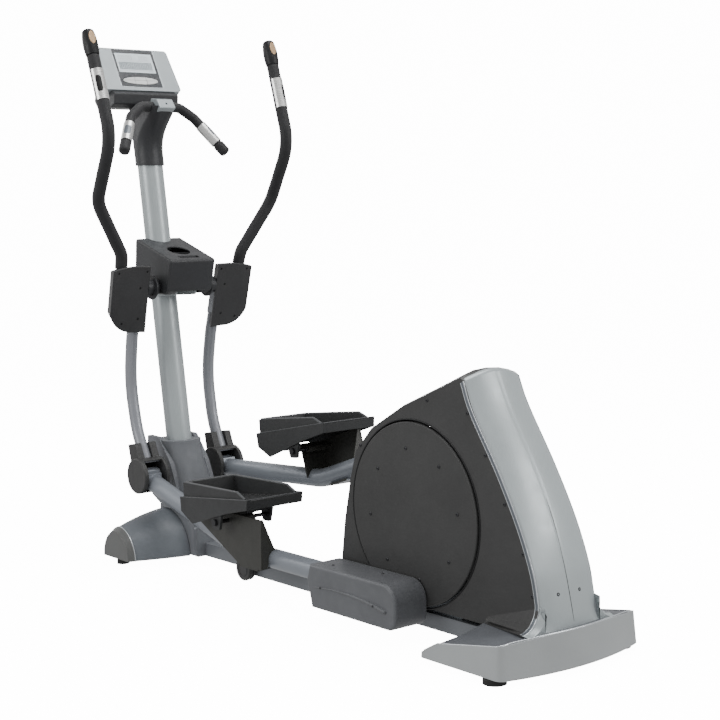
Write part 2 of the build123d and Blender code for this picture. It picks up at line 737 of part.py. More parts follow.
LINK_RADIUS = 29
LINK_DROP = 14             # how far the tube starts below the pivot
LINK_BEND_X = -205
REAR_TUBE_Z = 128
BOX_X = (180, 557)
BOX_Z = (42, 163)
BOX_INNER, BOX_OUTER = 108, 217
BRACKET_IN, BRACKET_OUT = 36, 50   # how far the bracket reaches either side of the link
PEDAL_FRONT, PEDAL_REAR = (-389, 278), (-35, 315)
PEDAL_HALF = 100
EAR_PIN = (-205, 226)
BOLT_RADIUS = 6
PEDAL_TURN = 13.4          # how far the right pedal leans back from where the left one stands on its link


def link_tube():
    """Bent link tube with its pivot eye, drawn at Y = LINK_Y."""
    pivot_x, pivot_z = arm_pivot(-1)
    points = [(pivot_x + 18, LINK_Y, pivot_z - LINK_DROP - 5), (LINK_BEND_X, LINK_Y, REAR_TUBE_Z),
              (BOX_X[1] - 60, LINK_Y, REAR_TUBE_Z)]
    tube = swept(points, 260, tube_radius=LINK_RADIUS)
    eye = disc(pivot_x, pivot_z, 24, LINK_Y - 31, LINK_Y + 31)
    neck = plate(((pivot_x - 4, pivot_z + 20), (pivot_x + 40, pivot_z + 8),
                  (pivot_x + 40, pivot_z - 44), (pivot_x - 4, pivot_z - 22)), LINK_Y - 24, LINK_Y + 24)
    bore = disc(pivot_x, pivot_z, PIN_RADIUS + RUN_FIT, LINK_Y - 40, LINK_Y + 40)
    return cut(joined(tube, eye, neck), bore)


BRACKET_TOP = 250
BRACKET_PLATE = ((-332, BRACKET_TOP), (-352, 200), (-150, 101), (-42, 101), (-38, BRACKET_TOP))


def pedal_bracket():
    """Outboard side plate that carries the pedal, with its webs, sleeve and saddle."""
    inner, outer = LINK_Y - BRACKET_IN, LINK_Y + BRACKET_OUT
    side_plate = plate(BRACKET_PLATE, outer, outer + 4)
    with BuildPart() as rear_web:
        with BuildSketch(Plane.YZ.offset(-44)):
            with BuildLine():
                Polyline((outer, BRACKET_TOP), (outer, 104), (outer - 16, 104), (outer - 48, 150),
                         (outer - 4, BRACKET_TOP), close=True)
            make_face()
        extrude(amount=4)
    saddle = block((-150, LINK_Y - 24, 96), (-60, outer + 4, 103))
    ledge = block((-330, inner, BRACKET_TOP - 4), (-236, outer, BRACKET_TOP))
    web = block((-240, inner, 140), (-236, outer, BRACKET_TOP))
    sleeve = disc(*EAR_PIN, 10, inner, outer)
    bolt_hole = disc(*EAR_PIN, BOLT_RADIUS, 0, 2 * LINK_Y)
    return cut(joined(side_plate, rear_web.part, saddle, ledge, web, sleeve), bolt_hole)


def pedal_plane(y):
    """Upright plane whose first axis runs back along the pedal's edge."""
    run = Vector(PEDAL_REAR[0] - PEDAL_FRONT[0], 0, PEDAL_REAR[1] - PEDAL_FRONT[1]).normalized()
    return Plane(origin=(PEDAL_FRONT[0], y, PEDAL_FRONT[1]), x_dir=run, z_dir=(0, -1, 0))


PEDAL_LENGTH = 356


def pedal():
    """Foot tray with raised sides, a deep front skirt, a ribbed tread and two ears."""
    low, high = LINK_Y + 3 - PEDAL_HALF, LINK_Y + 3 + PEDAL_HALF
    skirt = ((0, 0), (0, -43), (57, -80), (236, -44), (PEDAL_LENGTH - 8, -30), (PEDAL_LENGTH, 0))
    wall = ((12, -2), (16, 43), (PEDAL_LENGTH - 60, 20), (PEDAL_LENGTH - 22, -2))
    with BuildPart() as tray:
        with BuildSketch(pedal_plane(high)):
            with BuildLine():
                Polyline(*skirt, close=True)
            make_face()
        extrude(amount=high - low)
        with BuildSketch(pedal_plane(high - 6)):
            with BuildLine():
                Polyline(*wall, close=True)
            make_face()
        extrude(amount=high - low - 12)
        with BuildSketch(pedal_plane(high - 14)):
            with BuildLine():
                Polyline((26, -12), (26, 60), (PEDAL_LENGTH + 20, 60), (PEDAL_LENGTH + 20, -3),
                         (PEDAL_LENGTH - 20, -3), (PEDAL_LENGTH - 34, -12), close=True)
            make_face()
        extrude(amount=high - low - 28, mode=Mode.SUBTRACT)
        with BuildSketch(pedal_plane(high - 5)):
            with BuildLine():
                Polyline((5, -19), (5, -46), (57, -84), (236, -60), (PEDAL_LENGTH - 12, -60),
                         (PEDAL_LENGTH - 12, -19), close=True)
            make_face()
        extrude(amount=high - low - 10, mode=Mode.SUBTRACT)
        for index in range(9):
            with BuildSketch(pedal_plane(high - 34)):
                with Locations((62 + index * 30, -11)):
                    Rectangle(7, 4)
            extrude(amount=high - low - 68)
        for ear_low, ear_high in ((low + 5, low + 13), (high - 13, high - 5)):
            ear = plate(((EAR_PIN[0] - 34, 262), (EAR_PIN[0] - 17, 204), (EAR_PIN[0] + 17, 204),
                         (EAR_PIN[0] + 34, 270)), ear_low, ear_high, corner=8)
            add(ear)
    bolt_hole = disc(*EAR_PIN, BOLT_RADIUS + RUN_FIT, low - 10, high + 10)
    return cut(tray.part, bolt_hole)


def pedal_bolt():
    """Cross bolt through the pedal's ears and the bracket, with a head at each end."""
    low, high = LINK_Y + 3 - PEDAL_HALF, LINK_Y + 3 + PEDAL_HALF
    return joined(disc(*EAR_PIN, BOLT_RADIUS, low - 1, high + 1), disc(*EAR_PIN, 10, low - 4, low + 4.6),
                  disc(*EAR_PIN, 10, high - 4.6, high + 4))


def pedal_pose(piece, sign):
    """Place a pedal on its link, turned about its own bolt."""
    leaned = piece.rotate(Axis((EAR_PIN[0], 0, EAR_PIN[1]), (0, 1, 0)), PEDAL_TURN if sign > 0 else 0)
    return link_pose(leaned, sign)


def link_cover():
    """Moulded cover over the rear end of a link, with a curved rib on its outer side."""
    outline = ((BOX_X[0], BOX_Z[1] - 44), (BOX_X[0] + 14, BOX_Z[1]), (BOX_X[1], BOX_Z[1]),
               (BOX_X[1], BOX_Z[0]), (BOX_X[0] + 20, BOX_Z[0]))
    with BuildPart() as body:
        with BuildSketch(side_plane(BOX_OUTER)) as face:
            with BuildLine():
                Polyline(*outline, close=True)
            make_face()
            rear_corners = face.vertices().group_by(Axis.X)[-1].sort_by(Axis.Y)
            fillet(rear_corners[1], 52)
            fillet(face.vertices().group_by(Axis.X)[-1].sort_by(Axis.Y)[0], 34)
        extrude(amount=BOX_OUTER - BOX_INNER)
        fillet(body.faces().sort_by(Axis.Y)[-1].edges(), 8)
    room = plate(((BOX_X[0] + 26, BOX_Z[0] + 5), (BOX_X[0] + 8, BOX_Z[1] - 44),
                  (BOX_X[0] + 18, BOX_Z[1] - 5), (BOX_X[1] - 44, BOX_Z[1] - 5),
                  (BOX_X[1] - 5, BOX_Z[1] - 46), (BOX_X[1] - 5, BOX_Z[0] + 36),
                  (BOX_X[1] - 36, BOX_Z[0] + 5)), BOX_INNER + 4, BOX_OUTER - 4)
    mouth = swept([(BOX_X[0] - 60, LINK_Y, REAR_TUBE_Z), (BOX_X[0] + 20, LINK_Y, REAR_TUBE_Z),
                   (BOX_X[0] + 60, LINK_Y, REAR_TUBE_Z + 0.01)], 5, tube_radius=LINK_RADIUS + 0.2)
    return cut(body.part, room, mouth)


# ---- drive housing ------------------------------------------------------------------
HOUSING_FRONT = ((192, SHELL_BOTTOM), (194, 167), (209, 271), (236, 387), (264, 474), (332, 544),
                 (449, 609), (606, 674), (686, 708))
COVER_EDGE = ((700, 700), (733, 625), (824, 485), (896, 355), (940, 248), (959, 160))


# Crown of the housing: distance from the middle, and the share of the bulge there.
CROWN = ((0.2, 1.0), (45, 0.85), (78, 0.45), (94, 0.1), (SHELL_HALF, 0.0))
BULGE_LOW, BULGE_HIGH = 10, 20


def housing_face(crown, wall=0.0):
    """Side outline of the drive housing, its front and top standing out by the crown."""
    points = []
    last = len(HOUSING_FRONT) - 1
    for index, (x, z) in enumerate(HOUSING_FRONT):
        before, after = HOUSING_FRONT[max(index - 1, 0)], HOUSING_FRONT[min(index + 1, last)]
        run = Vector(after[0] - before[0], after[1] - before[1]).normalized()
        out = crown * (BULGE_LOW + (BULGE_HIGH - BULGE_LOW) * index / last) - wall
        points.append((x - run.Y * out, z + run.X * out if index else z))
    rear_top = (COVER_EDGE[0][0], COVER_EDGE[0][1] + BULGE_HIGH * crown - wall)
    with BuildSketch() as face:
        with BuildLine():
            Polyline(*points, rear_top, *COVER_EDGE[1:], (968, SHELL_BOTTOM), close=True)
        make_face()
    return face.sketch


def right_housing_shell():
    """Right half of the housing, with the round opening of the crank disc."""
    with BuildPart() as outer:
        for y, crown in CROWN:
            with BuildSketch(side_plane(y)):
                add(housing_face(crown))
        loft(ruled=True)
    with BuildPart() as room:
        for y, crown in CROWN:
            with BuildSketch(side_plane(y * (SHELL_HALF - SHELL_WALL) / SHELL_HALF - 0.5)):
                add(housing_face(crown, wall=SHELL_WALL))
        loft(ruled=True)
    rear_opening = plate((*[(x - 5, z) for x, z in COVER_EDGE[1:]], (964, 60), (1100, 60), (1100, 760),
                          (COVER_EDGE[0][0] - 0.3, 760), (COVER_EDGE[0][0] - 0.3, COVER_EDGE[0][1])),
                         -10, SHELL_HALF - SHELL_WALL)
    behind = plate((*COVER_EDGE, (968, SHELL_BOTTOM), (968, 40), (1100, 40), (1100, 800),
                    (COVER_EDGE[0][0], 800)), -10, SHELL_HALF + 1)
    bottom_opening = block((200, -10, 60), (955, SHELL_HALF - SHELL_WALL, 92))
    opening = disc(CRANK_X, CRANK_Z, DISC_RADIUS + 4, 60, 120)
    with BuildPart() as flare:
        for x, top, floor, out in ((775, 112, 100, 105), (957, 168, 109, 140)):
            with BuildSketch(Plane.YZ.offset(x)):
                with BuildLine():
                    Polyline((SHELL_HALF - 1, top), (SHELL_HALF - 1, floor), (out, floor),
                             (SHELL_HALF + 0.3 * (out - SHELL_HALF), floor + 0.35 * (top - floor)),
                             close=True)
                make_face()
        loft(ruled=True)
    return joined(cut(outer.part, room.part, rear_opening, behind, bottom_opening, opening), flare.part)


# Back cover: height, X of its edge, X of its crest and half width of each level.
BACK_LEVELS = (
    (94, 975, 984, 128),
    (118, 966, 981, 109),
    (160, 960, 972, SHELL_HALF),
    (250, 940, 949, SHELL_HALF),
    (355, 897, 915, SHELL_HALF),
    (485, 825, 852, SHELL_HALF),
    (625, 734, 764, SHELL_HALF),
    (700, 702, 728, SHELL_HALF - 3),
    (740, 690, 712, SHELL_HALF - 8),
)
COVER_WALL = 3.5
NOSE_TOP = 727


def back_body(inset=0.0):
    """Solid behind the housing's rear edge, moved forward by the inset."""
    with BuildPart() as body:
        for z, edge, crest, half in BACK_LEVELS:
            with BuildSketch(Plane.XY.offset(z)):
                with BuildLine():
                    ThreePointArc((edge - inset, -half + inset), (crest - inset, 0),
                                  (edge - inset, half - inset))
                    Polyline((edge - inset, half - inset), (edge - 14 - inset, half - inset),
                             (edge - 14 - inset, inset - half), (edge - inset, inset - half))
                make_face()
        loft(ruled=True)
        with BuildSketch(Plane.YZ.offset(600)):
            with BuildLine():
                ThreePointArc((-SHELL_HALF - 5, 702 - inset), (0, NOSE_TOP - inset),
                              (SHELL_HALF + 5, 702 - inset))
                Polyline((SHELL_HALF + 5, 702 - inset), (SHELL_HALF + 5, 900), (-SHELL_HALF - 5, 900),
                         (-SHELL_HALF - 5, 702 - inset))
            make_face()
        extrude(amount=300, mode=Mode.SUBTRACT)
    return body.part


def back_cover():
    """Curved rear cover of the housing, a skin with a nose cap, behind the halves' edges."""
    ahead = plate((*COVER_EDGE, (968, SHELL_BOTTOM), (968, 40), (100, 40), (100, 900),
                   (COVER_EDGE[0][0], 900)), -200, 200)
    return cut(back_body(), back_body(inset=COVER_WALL), ahead)


# ---- rear base ----------------------------------------------------------------------
SKIRT_FRONT_X, SKIRT_REAR_X, SKIRT_CREST_X = 678, 972, 1014
SKIRT_HALF = 251
SKIRT_Z = 16

# Top of the rear base: X, height at the outer edge and height beside the housing.
DECK_LEVELS = ((600, 14, 17), (672, 20, 24), (747, 62, 74), (772, 66, 95), (960, 98, 107),
               (1060, 114, 113))
DECK_EDGE, DECK_INNER = 245, 104


def skirt_footprint(inset=0.0):
    """Outline of the rear base on the floor, bowed at the rear."""
    half = SKIRT_HALF - inset
    front, rear, crest = SKIRT_FRONT_X + inset, SKIRT_REAR_X - inset, SKIRT_CREST_X - inset
    with BuildSketch() as footprint:
        with BuildLine():
            Polyline((rear, half), (front, half), (front, -half), (rear, -half))
            ThreePointArc((rear, -half), (crest, 0), (rear, half))
        make_face()
        fillet(footprint.vertices(), 26 - inset)
    return footprint.sketch


def skirt_top(lift=0.0):
    """Everything above the sloping top of the rear base."""
    with BuildPart() as above:
        for x, edge_z, inner_z in DECK_LEVELS:
            with BuildSketch(Plane.YZ.offset(x)):
                with BuildLine():
                    Polyline((-320, edge_z - 12 + lift), (-DECK_EDGE, edge_z + lift),
                             (-DECK_INNER, inner_z + lift), (DECK_INNER, inner_z + lift),
                             (DECK_EDGE, edge_z + lift), (320, edge_z - 12 + lift),
                             (320, 400), (-320, 400), close=True)
                make_face()
        loft(ruled=True)
    return above.part


def rear_skirt():
    """Silver skirt of the rear base, a tapering wall."""
    with BuildPart() as outer:
        with BuildSketch(Plane.XY.offset(SKIRT_Z)):
            add(skirt_footprint())
        extrude(amount=110, taper=5)
    with BuildPart() as inner:
        with BuildSketch(Plane.XY.offset(SKIRT_Z - 1)):
            add(skirt_footprint(inset=4))
        extrude(amount=130, taper=5)
    rail_gap = block((SKIRT_FRONT_X - 10, -72, 10), (SKIRT_FRONT_X + 40, 72, 120))
    return cut(outer.part, inner.part, skirt_top(), rail_gap)


def rear_deck():
    """Dark plate let into the top of the rear base, round three sides of the housing."""
    with BuildPart() as whole:
        with BuildSketch(Plane.XY.offset(SKIRT_Z)):
            add(skirt_footprint(inset=4.3))
        extrude(amount=110, taper=5)
    with BuildPart() as deck:
        add(whole.part)
        add(skirt_top(lift=-6), mode=Mode.INTERSECT)
        add(skirt_top(lift=-1.5), mode=Mode.SUBTRACT)
        add(block((600, -100.5, 0), (962, 100.5, 200)), mode=Mode.SUBTRACT)
        add(back_body(), mode=Mode.SUBTRACT)
    return deck.part


def rear_frame():
    """Rear rail, rear cross tube and the knob's stud, welded."""
    rail = block((RAIL_JOINT_X, -70, 22), (905, 70, 64), wall=3, open_axis=0)
    tube = block((905, -232, 22), (955, 232, 62), wall=3, open_axis=1)
    stud = disc(KNOB_X, KNOB_Z, 6, -97, -60)
    return joined(rail, tube, stud)


def foot(x, y, radius):
    """Levelling foot: a rubber pad on a short stud."""
    with BuildPart() as piece:
        with BuildSketch(Plane.XY):
            with Locations((x, y)):
                Circle(radius)
        extrude(amount=15)
        fillet(piece.edges().group_by(Axis.Z)[-1], 3)
        with BuildSketch(Plane.XY.offset(15)):
            with Locations((x, y)):
                Circle(6)
        extrude(amount=7)
    return piece.part


def rail_knob():
    """Round knob with a closed outer face, on the stud beside the rail joint."""
    with BuildPart() as knob:
        add(disc(KNOB_X, KNOB_Z, KNOB_RADIUS, -101, -76))
        fillet(knob.faces().filter_by(Axis.Y).edges(), 3)
        add(disc(KNOB_X, KNOB_Z, KNOB_RADIUS + 1, -87, -84, bore=KNOB_RADIUS - 3), mode=Mode.SUBTRACT)
        add(disc(KNOB_X, KNOB_Z, 6 + RUN_FIT, -97.4, -70), mode=Mode.SUBTRACT)
    return knob.part


# ---- drive inside the housing -------------------------------------------------------
PLATE_INNER, PLATE_OUTER = 50, 56
BEARING_RADIUS = 28
CRANK_AXLE_RADIUS = 15
FLYWHEEL_AXLE_RADIUS = 10
PULLEY_Y = (20, 34)
IDLER_X, IDLER_Z, IDLER_RADIUS = 713.3, 450, 20


def drive_frame():
    """Two bearing plates that stand on the rear rail, with their cross bars."""
    outline = ((380, 64), (640, 64), (745, 420), (745, 490), (700, 612), (630, 612), (440, 400), (430, 300))
    with BuildPart() as frame:
        for sign in (-1, 1):
            low, high = span(sign, PLATE_INNER, PLATE_OUTER)
            add(plate(outline, low, high, corner=12))
        for x, z in ((420, 84), (610, 84)):
            add(block((x - 15, -PLATE_INNER, z - 20), (x + 15, PLATE_INNER, z - 8)))
        add(disc(CRANK_X, CRANK_Z, BEARING_RADIUS, -80, 80), mode=Mode.SUBTRACT)
        add(disc(FLYWHEEL_X, FLYWHEEL_Z, FLYWHEEL_AXLE_RADIUS + RUN_FIT, -80, 80), mode=Mode.SUBTRACT)
        add(disc(IDLER_X, IDLER_Z, 6, 20, 56))
    return frame.part


def belt():
    """Flat belt round the drive pulley and the flywheel pulley."""
    gap, thickness = 0.4, 3
    with BuildPart() as loop:
        with BuildSketch(side_plane(PULLEY_Y[1] - 2)):
            with BuildSketch(mode=Mode.PRIVATE) as outer:
                with Locations((CRANK_X, CRANK_Z)):
                    Circle(DRIVE_PULLEY_RADIUS + gap + thickness)
                with Locations((FLYWHEEL_X, FLYWHEEL_Z)):
                    Circle(FLYWHEEL_PULLEY_RADIUS + gap + thickness)
                make_hull()
            with BuildSketch(mode=Mode.PRIVATE) as inner:
                with Locations((CRANK_X, CRANK_Z)):
                    Circle(DRIVE_PULLEY_RADIUS + gap)
                with Locations((FLYWHEEL_X, FLYWHEEL_Z)):
                    Circle(FLYWHEEL_PULLEY_RADIUS + gap)
                make_hull()
            add(outer.sketch)
            add(inner.sketch, mode=Mode.SUBTRACT)
        extrude(amount=PULLEY_Y[1] - PULLEY_Y[0] - 4)
    return loop.part


def drive_pulley():
    """Large pulley on the crank axle, with lightening holes."""
    with BuildPart() as pulley:
        add(disc(CRANK_X, CRANK_Z, DRIVE_PULLEY_RADIUS, *PULLEY_Y, bore=CRANK_AXLE_RADIUS))
        with BuildSketch(side_plane(PULLEY_Y[1] + 1)):
            with Locations((CRANK_X, CRANK_Z)):
                with PolarLocations(110, 5):
                    Circle(42)
        extrude(amount=20, mode=Mode.SUBTRACT)
    return pulley.part


def flywheel():
    """Flywheel with its axle and small pulley, keyed together."""
    return joined(disc(FLYWHEEL_X, FLYWHEEL_Z, 105, -42, -6),
                  disc(FLYWHEEL_X, FLYWHEEL_Z, FLYWHEEL_PULLEY_RADIUS, *PULLEY_Y),
                  disc(FLYWHEEL_X, FLYWHEEL_Z, FLYWHEEL_AXLE_RADIUS, -60, 60))


def crank_axle():
    """Crank axle with an arm and a pin at each end, half a turn apart."""
    pieces = [disc(CRANK_X, CRANK_Z, CRANK_AXLE_RADIUS, -DISC_INNER, DISC_INNER)]
    for sign in (-1, 1):
        low, high = span(sign, 78, DISC_INNER)
        pin_low, pin_high = span(sign, 78, 107)
        pin_x, pin_z = crank_pin(sign)
        run = Vector(pin_x - CRANK_X, 0, pin_z - CRANK_Z).normalized()
        across = Vector(run.Z, 0, -run.X)
        corners = []
        for centre, out in (((CRANK_X, CRANK_Z), 26), ((pin_x, pin_z), 20)):
            corners.append((Vector(centre[0], 0, centre[1]), out))
        (a, ra), (b, rb) = corners
        quad = [a + across * ra, b + across * rb, b - across * rb, a - across * ra]
        pieces += [plate([(v.X, v.Z) for v in quad], low, high),
                   disc(CRANK_X, CRANK_Z, 26, low, high), disc(pin_x, pin_z, 20, low, high),
                   disc(pin_x, pin_z, 14, pin_low, pin_high)]
    return joined(*pieces)


def crank_disc(sign):
    """Round cover disc that turns with the crank."""
    low, high = span(sign, DISC_INNER, DISC_FACE)
    pin_x, pin_z = crank_pin(sign)
    with BuildPart() as face:
        add(disc(CRANK_X, CRANK_Z, DISC_RADIUS, low, high))
        outer_face = face.faces().filter_by(Axis.Y).sort_by(Axis.Y)[-1 if sign > 0 else 0]
        fillet(outer_face.edges(), 3)
        add(disc(CRANK_X, CRANK_Z, DISC_RADIUS - 8, *span(sign, DISC_INNER - 2, DISC_FACE - 4)),
            mode=Mode.SUBTRACT)
        add(disc(pin_x, pin_z, 14, *span(sign, 80, 120)), mode=Mode.SUBTRACT)
        add(disc(CRANK_X, CRANK_Z, 34, *span(sign, DISC_INNER, DISC_FACE - 2)))
    return face.part


SCREW_CIRCLE = 175
SCREW_TURN = 7.8


def disc_screws():
    """Screw heads round both crank discs."""
    heads = []
    for sign in (-1, 1):
        for index in range(8):
            angle = radians(SCREW_TURN + 45 * index)
            x, z = CRANK_X + SCREW_CIRCLE * cos(angle), CRANK_Z + SCREW_CIRCLE * sin(angle)
            heads.append(disc(x, z, 5, *span(sign, DISC_FACE, DISC_FACE + 1.6)))
    return group(heads)


def housing_screws():
    """Screw heads along the rear edge of both housing halves."""
    places = ((712, 620), (775, 520), (842, 405), (905, 290), (935, 190), (284, 492), (560, 640))
    heads = [disc(x, z, 5, *span(sign, SHELL_HALF, SHELL_HALF + 1.6)) for sign in (-1, 1)
             for x, z in places]
    return group(heads)


# ---- write everything ---------------------------------------------------------------
save(front_frame(), "front_frame")
save(pair(front_cover()), "front_covers")
save(pair(front_end_cap()), "front_end_caps")
save(mast_boot(), "mast_boot")
save(pair(boot_side_plate()), "mast_boot_plates")
save(mast_tube(), "mast_tube")
save(neck_cover(), "neck_cover")
save(console_shell(), "console_shell")
save(console_panel(), "console_panel")
save(console_screen(), "console_screen")
save(console_tray(), "console_tray")
for key_name, key_low, key_high in (("left", -KEY_HALF_W, -KEY_SPLIT - KEY_GAP),
                                    ("middle", -KEY_SPLIT, KEY_SPLIT),
                                    ("right", KEY_SPLIT + KEY_GAP, KEY_HALF_W)):
    save(console_key(key_low, key_high), f"console_key_{key_name}")
save(fixed_handlebar(), "fixed_handlebar")
save(pair(fixed_pulse_plate()), "fixed_pulse_plates")
save(handlebar_clamp(), "handlebar_clamp")
save(bottle_holder(), "bottle_holder")
save(arm_axle(), "arm_axle")

ARM_PIECES = {
    "arm_tube": right_arm_tube(),
    "handle_grip": right_handle_grip(),
    "handle_pod": right_handle_pod(),
    "thumb_rocker": right_thumb_rocker(),
    "pulse_plate": right_pulse_plate(),
    "arm_cover": right_arm_cover(),
    "pivot_shroud": right_pivot_shroud(),
}
LINK_PIECES = {
    "link_tube": joined(link_tube(), pedal_bracket()),
    "pedal_bolt": pedal_bolt(),
    "link_cover": link_cover(),
}
for side, sign in SIDES:
    for name, piece in ARM_PIECES.items():
        sided = piece if sign > 0 else mirrored(piece)
        save(arm_pose(sided, sign), f"{side}_{name}")
    for name, piece in LINK_PIECES.items():
        sided = piece if sign > 0 else mirrored(piece)
        save(link_pose(sided, sign), f"{side}_{name}")
    save(pedal_pose(pedal() if sign > 0 else mirrored(pedal()), sign), f"{side}_pedal")
    save(crank_disc(sign), f"{side}_crank_disc")

save(right_housing_shell(), "right_housing_shell")
save(mirrored(right_housing_shell()), "left_housing_shell")
save(back_cover(), "back_cover")
save(rear_skirt(), "rear_skirt")
save(rear_deck(), "rear_deck")
save(rear_frame(), "rear_frame")
save(rail_knob(), "rail_knob")
save(group([foot(-788, -232, 20), foot(-788, 232, 20), foot(930, -225, 30), foot(930, 225, 30)]),
     "levelling_feet")
save(drive_frame(), "drive_frame")
save(pair(disc(CRANK_X, CRANK_Z, BEARING_RADIUS, PLATE_INNER, PLATE_OUTER,
               bore=CRANK_AXLE_RADIUS + RUN_FIT)), "crank_bearings")
save(belt(), "drive_belt")
save(drive_pulley(), "drive_pulley")
save(flywheel(), "flywheel")
save(disc(IDLER_X, IDLER_Z, IDLER_RADIUS, *PULLEY_Y, bore=6 + RUN_FIT), "belt_idler")
save(crank_axle(), "crank_axle")
save(disc_screws(), "disc_screws")
save(housing_screws(), "housing_screws")
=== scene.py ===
"""The looks of a rear-drive elliptical trainer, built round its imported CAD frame."""

import json
import math

import bmesh
import bpy
from mathutils import Matrix, Vector, noise


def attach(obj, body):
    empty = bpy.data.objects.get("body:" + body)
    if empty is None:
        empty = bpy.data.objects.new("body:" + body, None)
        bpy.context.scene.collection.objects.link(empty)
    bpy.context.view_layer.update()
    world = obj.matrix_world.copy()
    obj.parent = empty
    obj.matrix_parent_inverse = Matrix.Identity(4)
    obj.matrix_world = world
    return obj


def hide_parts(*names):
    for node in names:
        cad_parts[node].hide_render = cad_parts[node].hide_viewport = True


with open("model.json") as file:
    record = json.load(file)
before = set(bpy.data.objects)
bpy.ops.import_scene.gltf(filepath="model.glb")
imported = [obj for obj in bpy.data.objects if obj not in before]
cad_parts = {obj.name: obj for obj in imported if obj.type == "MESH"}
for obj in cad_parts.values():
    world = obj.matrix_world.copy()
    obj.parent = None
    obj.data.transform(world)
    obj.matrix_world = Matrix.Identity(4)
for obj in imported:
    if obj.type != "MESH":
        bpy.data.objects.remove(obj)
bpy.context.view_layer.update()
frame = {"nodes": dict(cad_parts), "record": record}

# Everything below is drawn in millimetres in the CAD drawing's own frame, whose X is
# SHIFT_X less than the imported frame's.
SHIFT_X = 25.7
MM = 0.001
SIDES = (("left", -1), ("right", 1))

# Axle of the arms (X, Z), and the degrees each arm has swung from its drawn place.
ARM_AXLE, ARM_SWING = (-765, 897), 1.55
# The right link is the left one turned about its front pin, then moved (X, Z).
LINK_PIVOT, LINK_TURN, LINK_MOVE = (-735.6, 289.6), -18.48, (-32.9, -0.7)
# Corners and bend radii of a swing handle, and of one half of the fixed bar.
HANDLE = ((-765, 222, 905), (-736, 228, 1005), (-700, 328, 1172), (-598, 328, 1362),
          (-692, 328, 1650))
HANDLE_RADII = (60, 110, 150)
BAR = ((-757, 197, 1330), (-833, 121, 1449), (-848, 72, 1484))
BAR_RADII = (34, 40, 40, 34)
# Centre of the crank discs (X, Z), and half the width across the shells and the discs.
DISC = (502, 332)
SHELL_HALF, DISC_FACE = 99, 104
# Line where the back cover meets the shells (X, Z), and the flare at the line's foot.
COVER_EDGE = ((700, 700), (733, 625), (824, 485), (896, 355), (940, 248), (957, 172))
FOOT_X, FOOT_RADIUS, FOOT_FLOOR = 957, 61, 108


# ---- materials ----
class Graph:
    """A material's node graph, with short calls for the nodes it is made of."""

    def __init__(self, name):
        self.material = bpy.data.materials.new(name)
        self.material.use_nodes = True
        self.nodes = self.material.node_tree.nodes
        self.links = self.material.node_tree.links
        self.nodes.clear()
        self.out = self.nodes.new("ShaderNodeOutputMaterial")
        self.shader = self.nodes.new("ShaderNodeBsdfPrincipled")
        self.links.new(self.shader.outputs[0], self.out.inputs[0])
        self.coord = self.nodes.new("ShaderNodeTexCoord").outputs["Object"]

    def node(self, kind, inputs=(), **settings):
        made = self.nodes.new("ShaderNode" + kind)
        for key, value in settings.items():
            setattr(made, key, value)
        for socket, value in dict(inputs).items():
            if isinstance(value, bpy.types.NodeSocket):
                self.links.new(value, made.inputs[socket])
            else:
                made.inputs[socket].default_value = value
        return made

    def noise(self, scale, detail=2.0, rough=0.5, stretch=None):
        where = self.coord
        if stretch:
            where = self.node("Mapping", {"Vector": self.coord, "Scale": stretch}).outputs[0]
        return self.node("TexNoise", {"Vector": where, "Scale": scale, "Detail": detail,
                                      "Roughness": rough}).outputs["Fac"]

    def cells(self, scale, feature="F1"):
        return self.node("TexVoronoi", {"Vector": self.coord, "Scale": scale},
                         feature=feature).outputs["Distance"]

    def tones(self, fac, stops):
        ramp = self.node("ValToRGB", {"Fac": fac})
        band = ramp.color_ramp
        while len(band.elements) < len(stops):
            band.elements.new(0.5)
        for element, (place, colour) in zip(band.elements, stops):
            element.position, element.color = place, (*colour, 1)
        return ramp.outputs[0]

    def spread(self, fac, low, high):
        return self.node("MapRange", {"Value": fac, "From Min": 0.3, "From Max": 0.7,
                                      "To Min": low, "To Max": high}).outputs[0]

    def both(self, a, b, how="ADD", share=0.5):
        scaled = self.node("Math", {0: b, 1: share}, operation="MULTIPLY").outputs[0]
        return self.node("Math", {0: a, 1: scaled}, operation=how).outputs[0]

    def colour(self, value):
        self.links.new(value, self.shader.inputs["Base Color"])

    def roughness(self, value):
        self.links.new(value, self.shader.inputs["Roughness"])

    def bump(self, height, strength, distance, edge=0.0):
        inputs = {"Height": height, "Strength": strength, "Distance": distance}
        if edge:
            inputs["Normal"] = self.node("Bevel", {"Radius": edge}, samples=4).outputs[0]
        self.links.new(self.node("Bump", inputs).outputs[0], self.shader.inputs["Normal"])

    def set(self, **values):
        for key, value in values.items():
            self.shader.inputs[key.replace("_", " ")].default_value = value
        return self.material


def shade(colour, amount):
    """A colour made lighter or darker by a factor."""
    return tuple(min(1.0, c * amount) for c in colour)


def moulded(name, colour, rough=0.42, grain=1400, depth=0.00035, strength=0.35, edge=0.0015,
            variation=0.12, specular=0.32):
    """Injection-moulded plastic: eroded grain, faint flow marks and rubbed edges."""
    g = Graph(name)
    flow = g.noise(7, 3, 0.6)
    fine = g.both(g.cells(grain), g.noise(grain * 0.45, 2), share=0.7)
    lights = g.both(flow, g.noise(55, 3), share=0.35)
    g.colour(g.tones(lights, ((0.35, shade(colour, 1 - variation)), (0.62, colour),
                              (0.85, shade(colour, 1 + variation)))))
    g.roughness(g.spread(g.noise(32, 4), rough - 0.06, rough + 0.07))
    g.bump(fine, strength, depth, edge)
    return g.set(Specular_IOR_Level=specular)


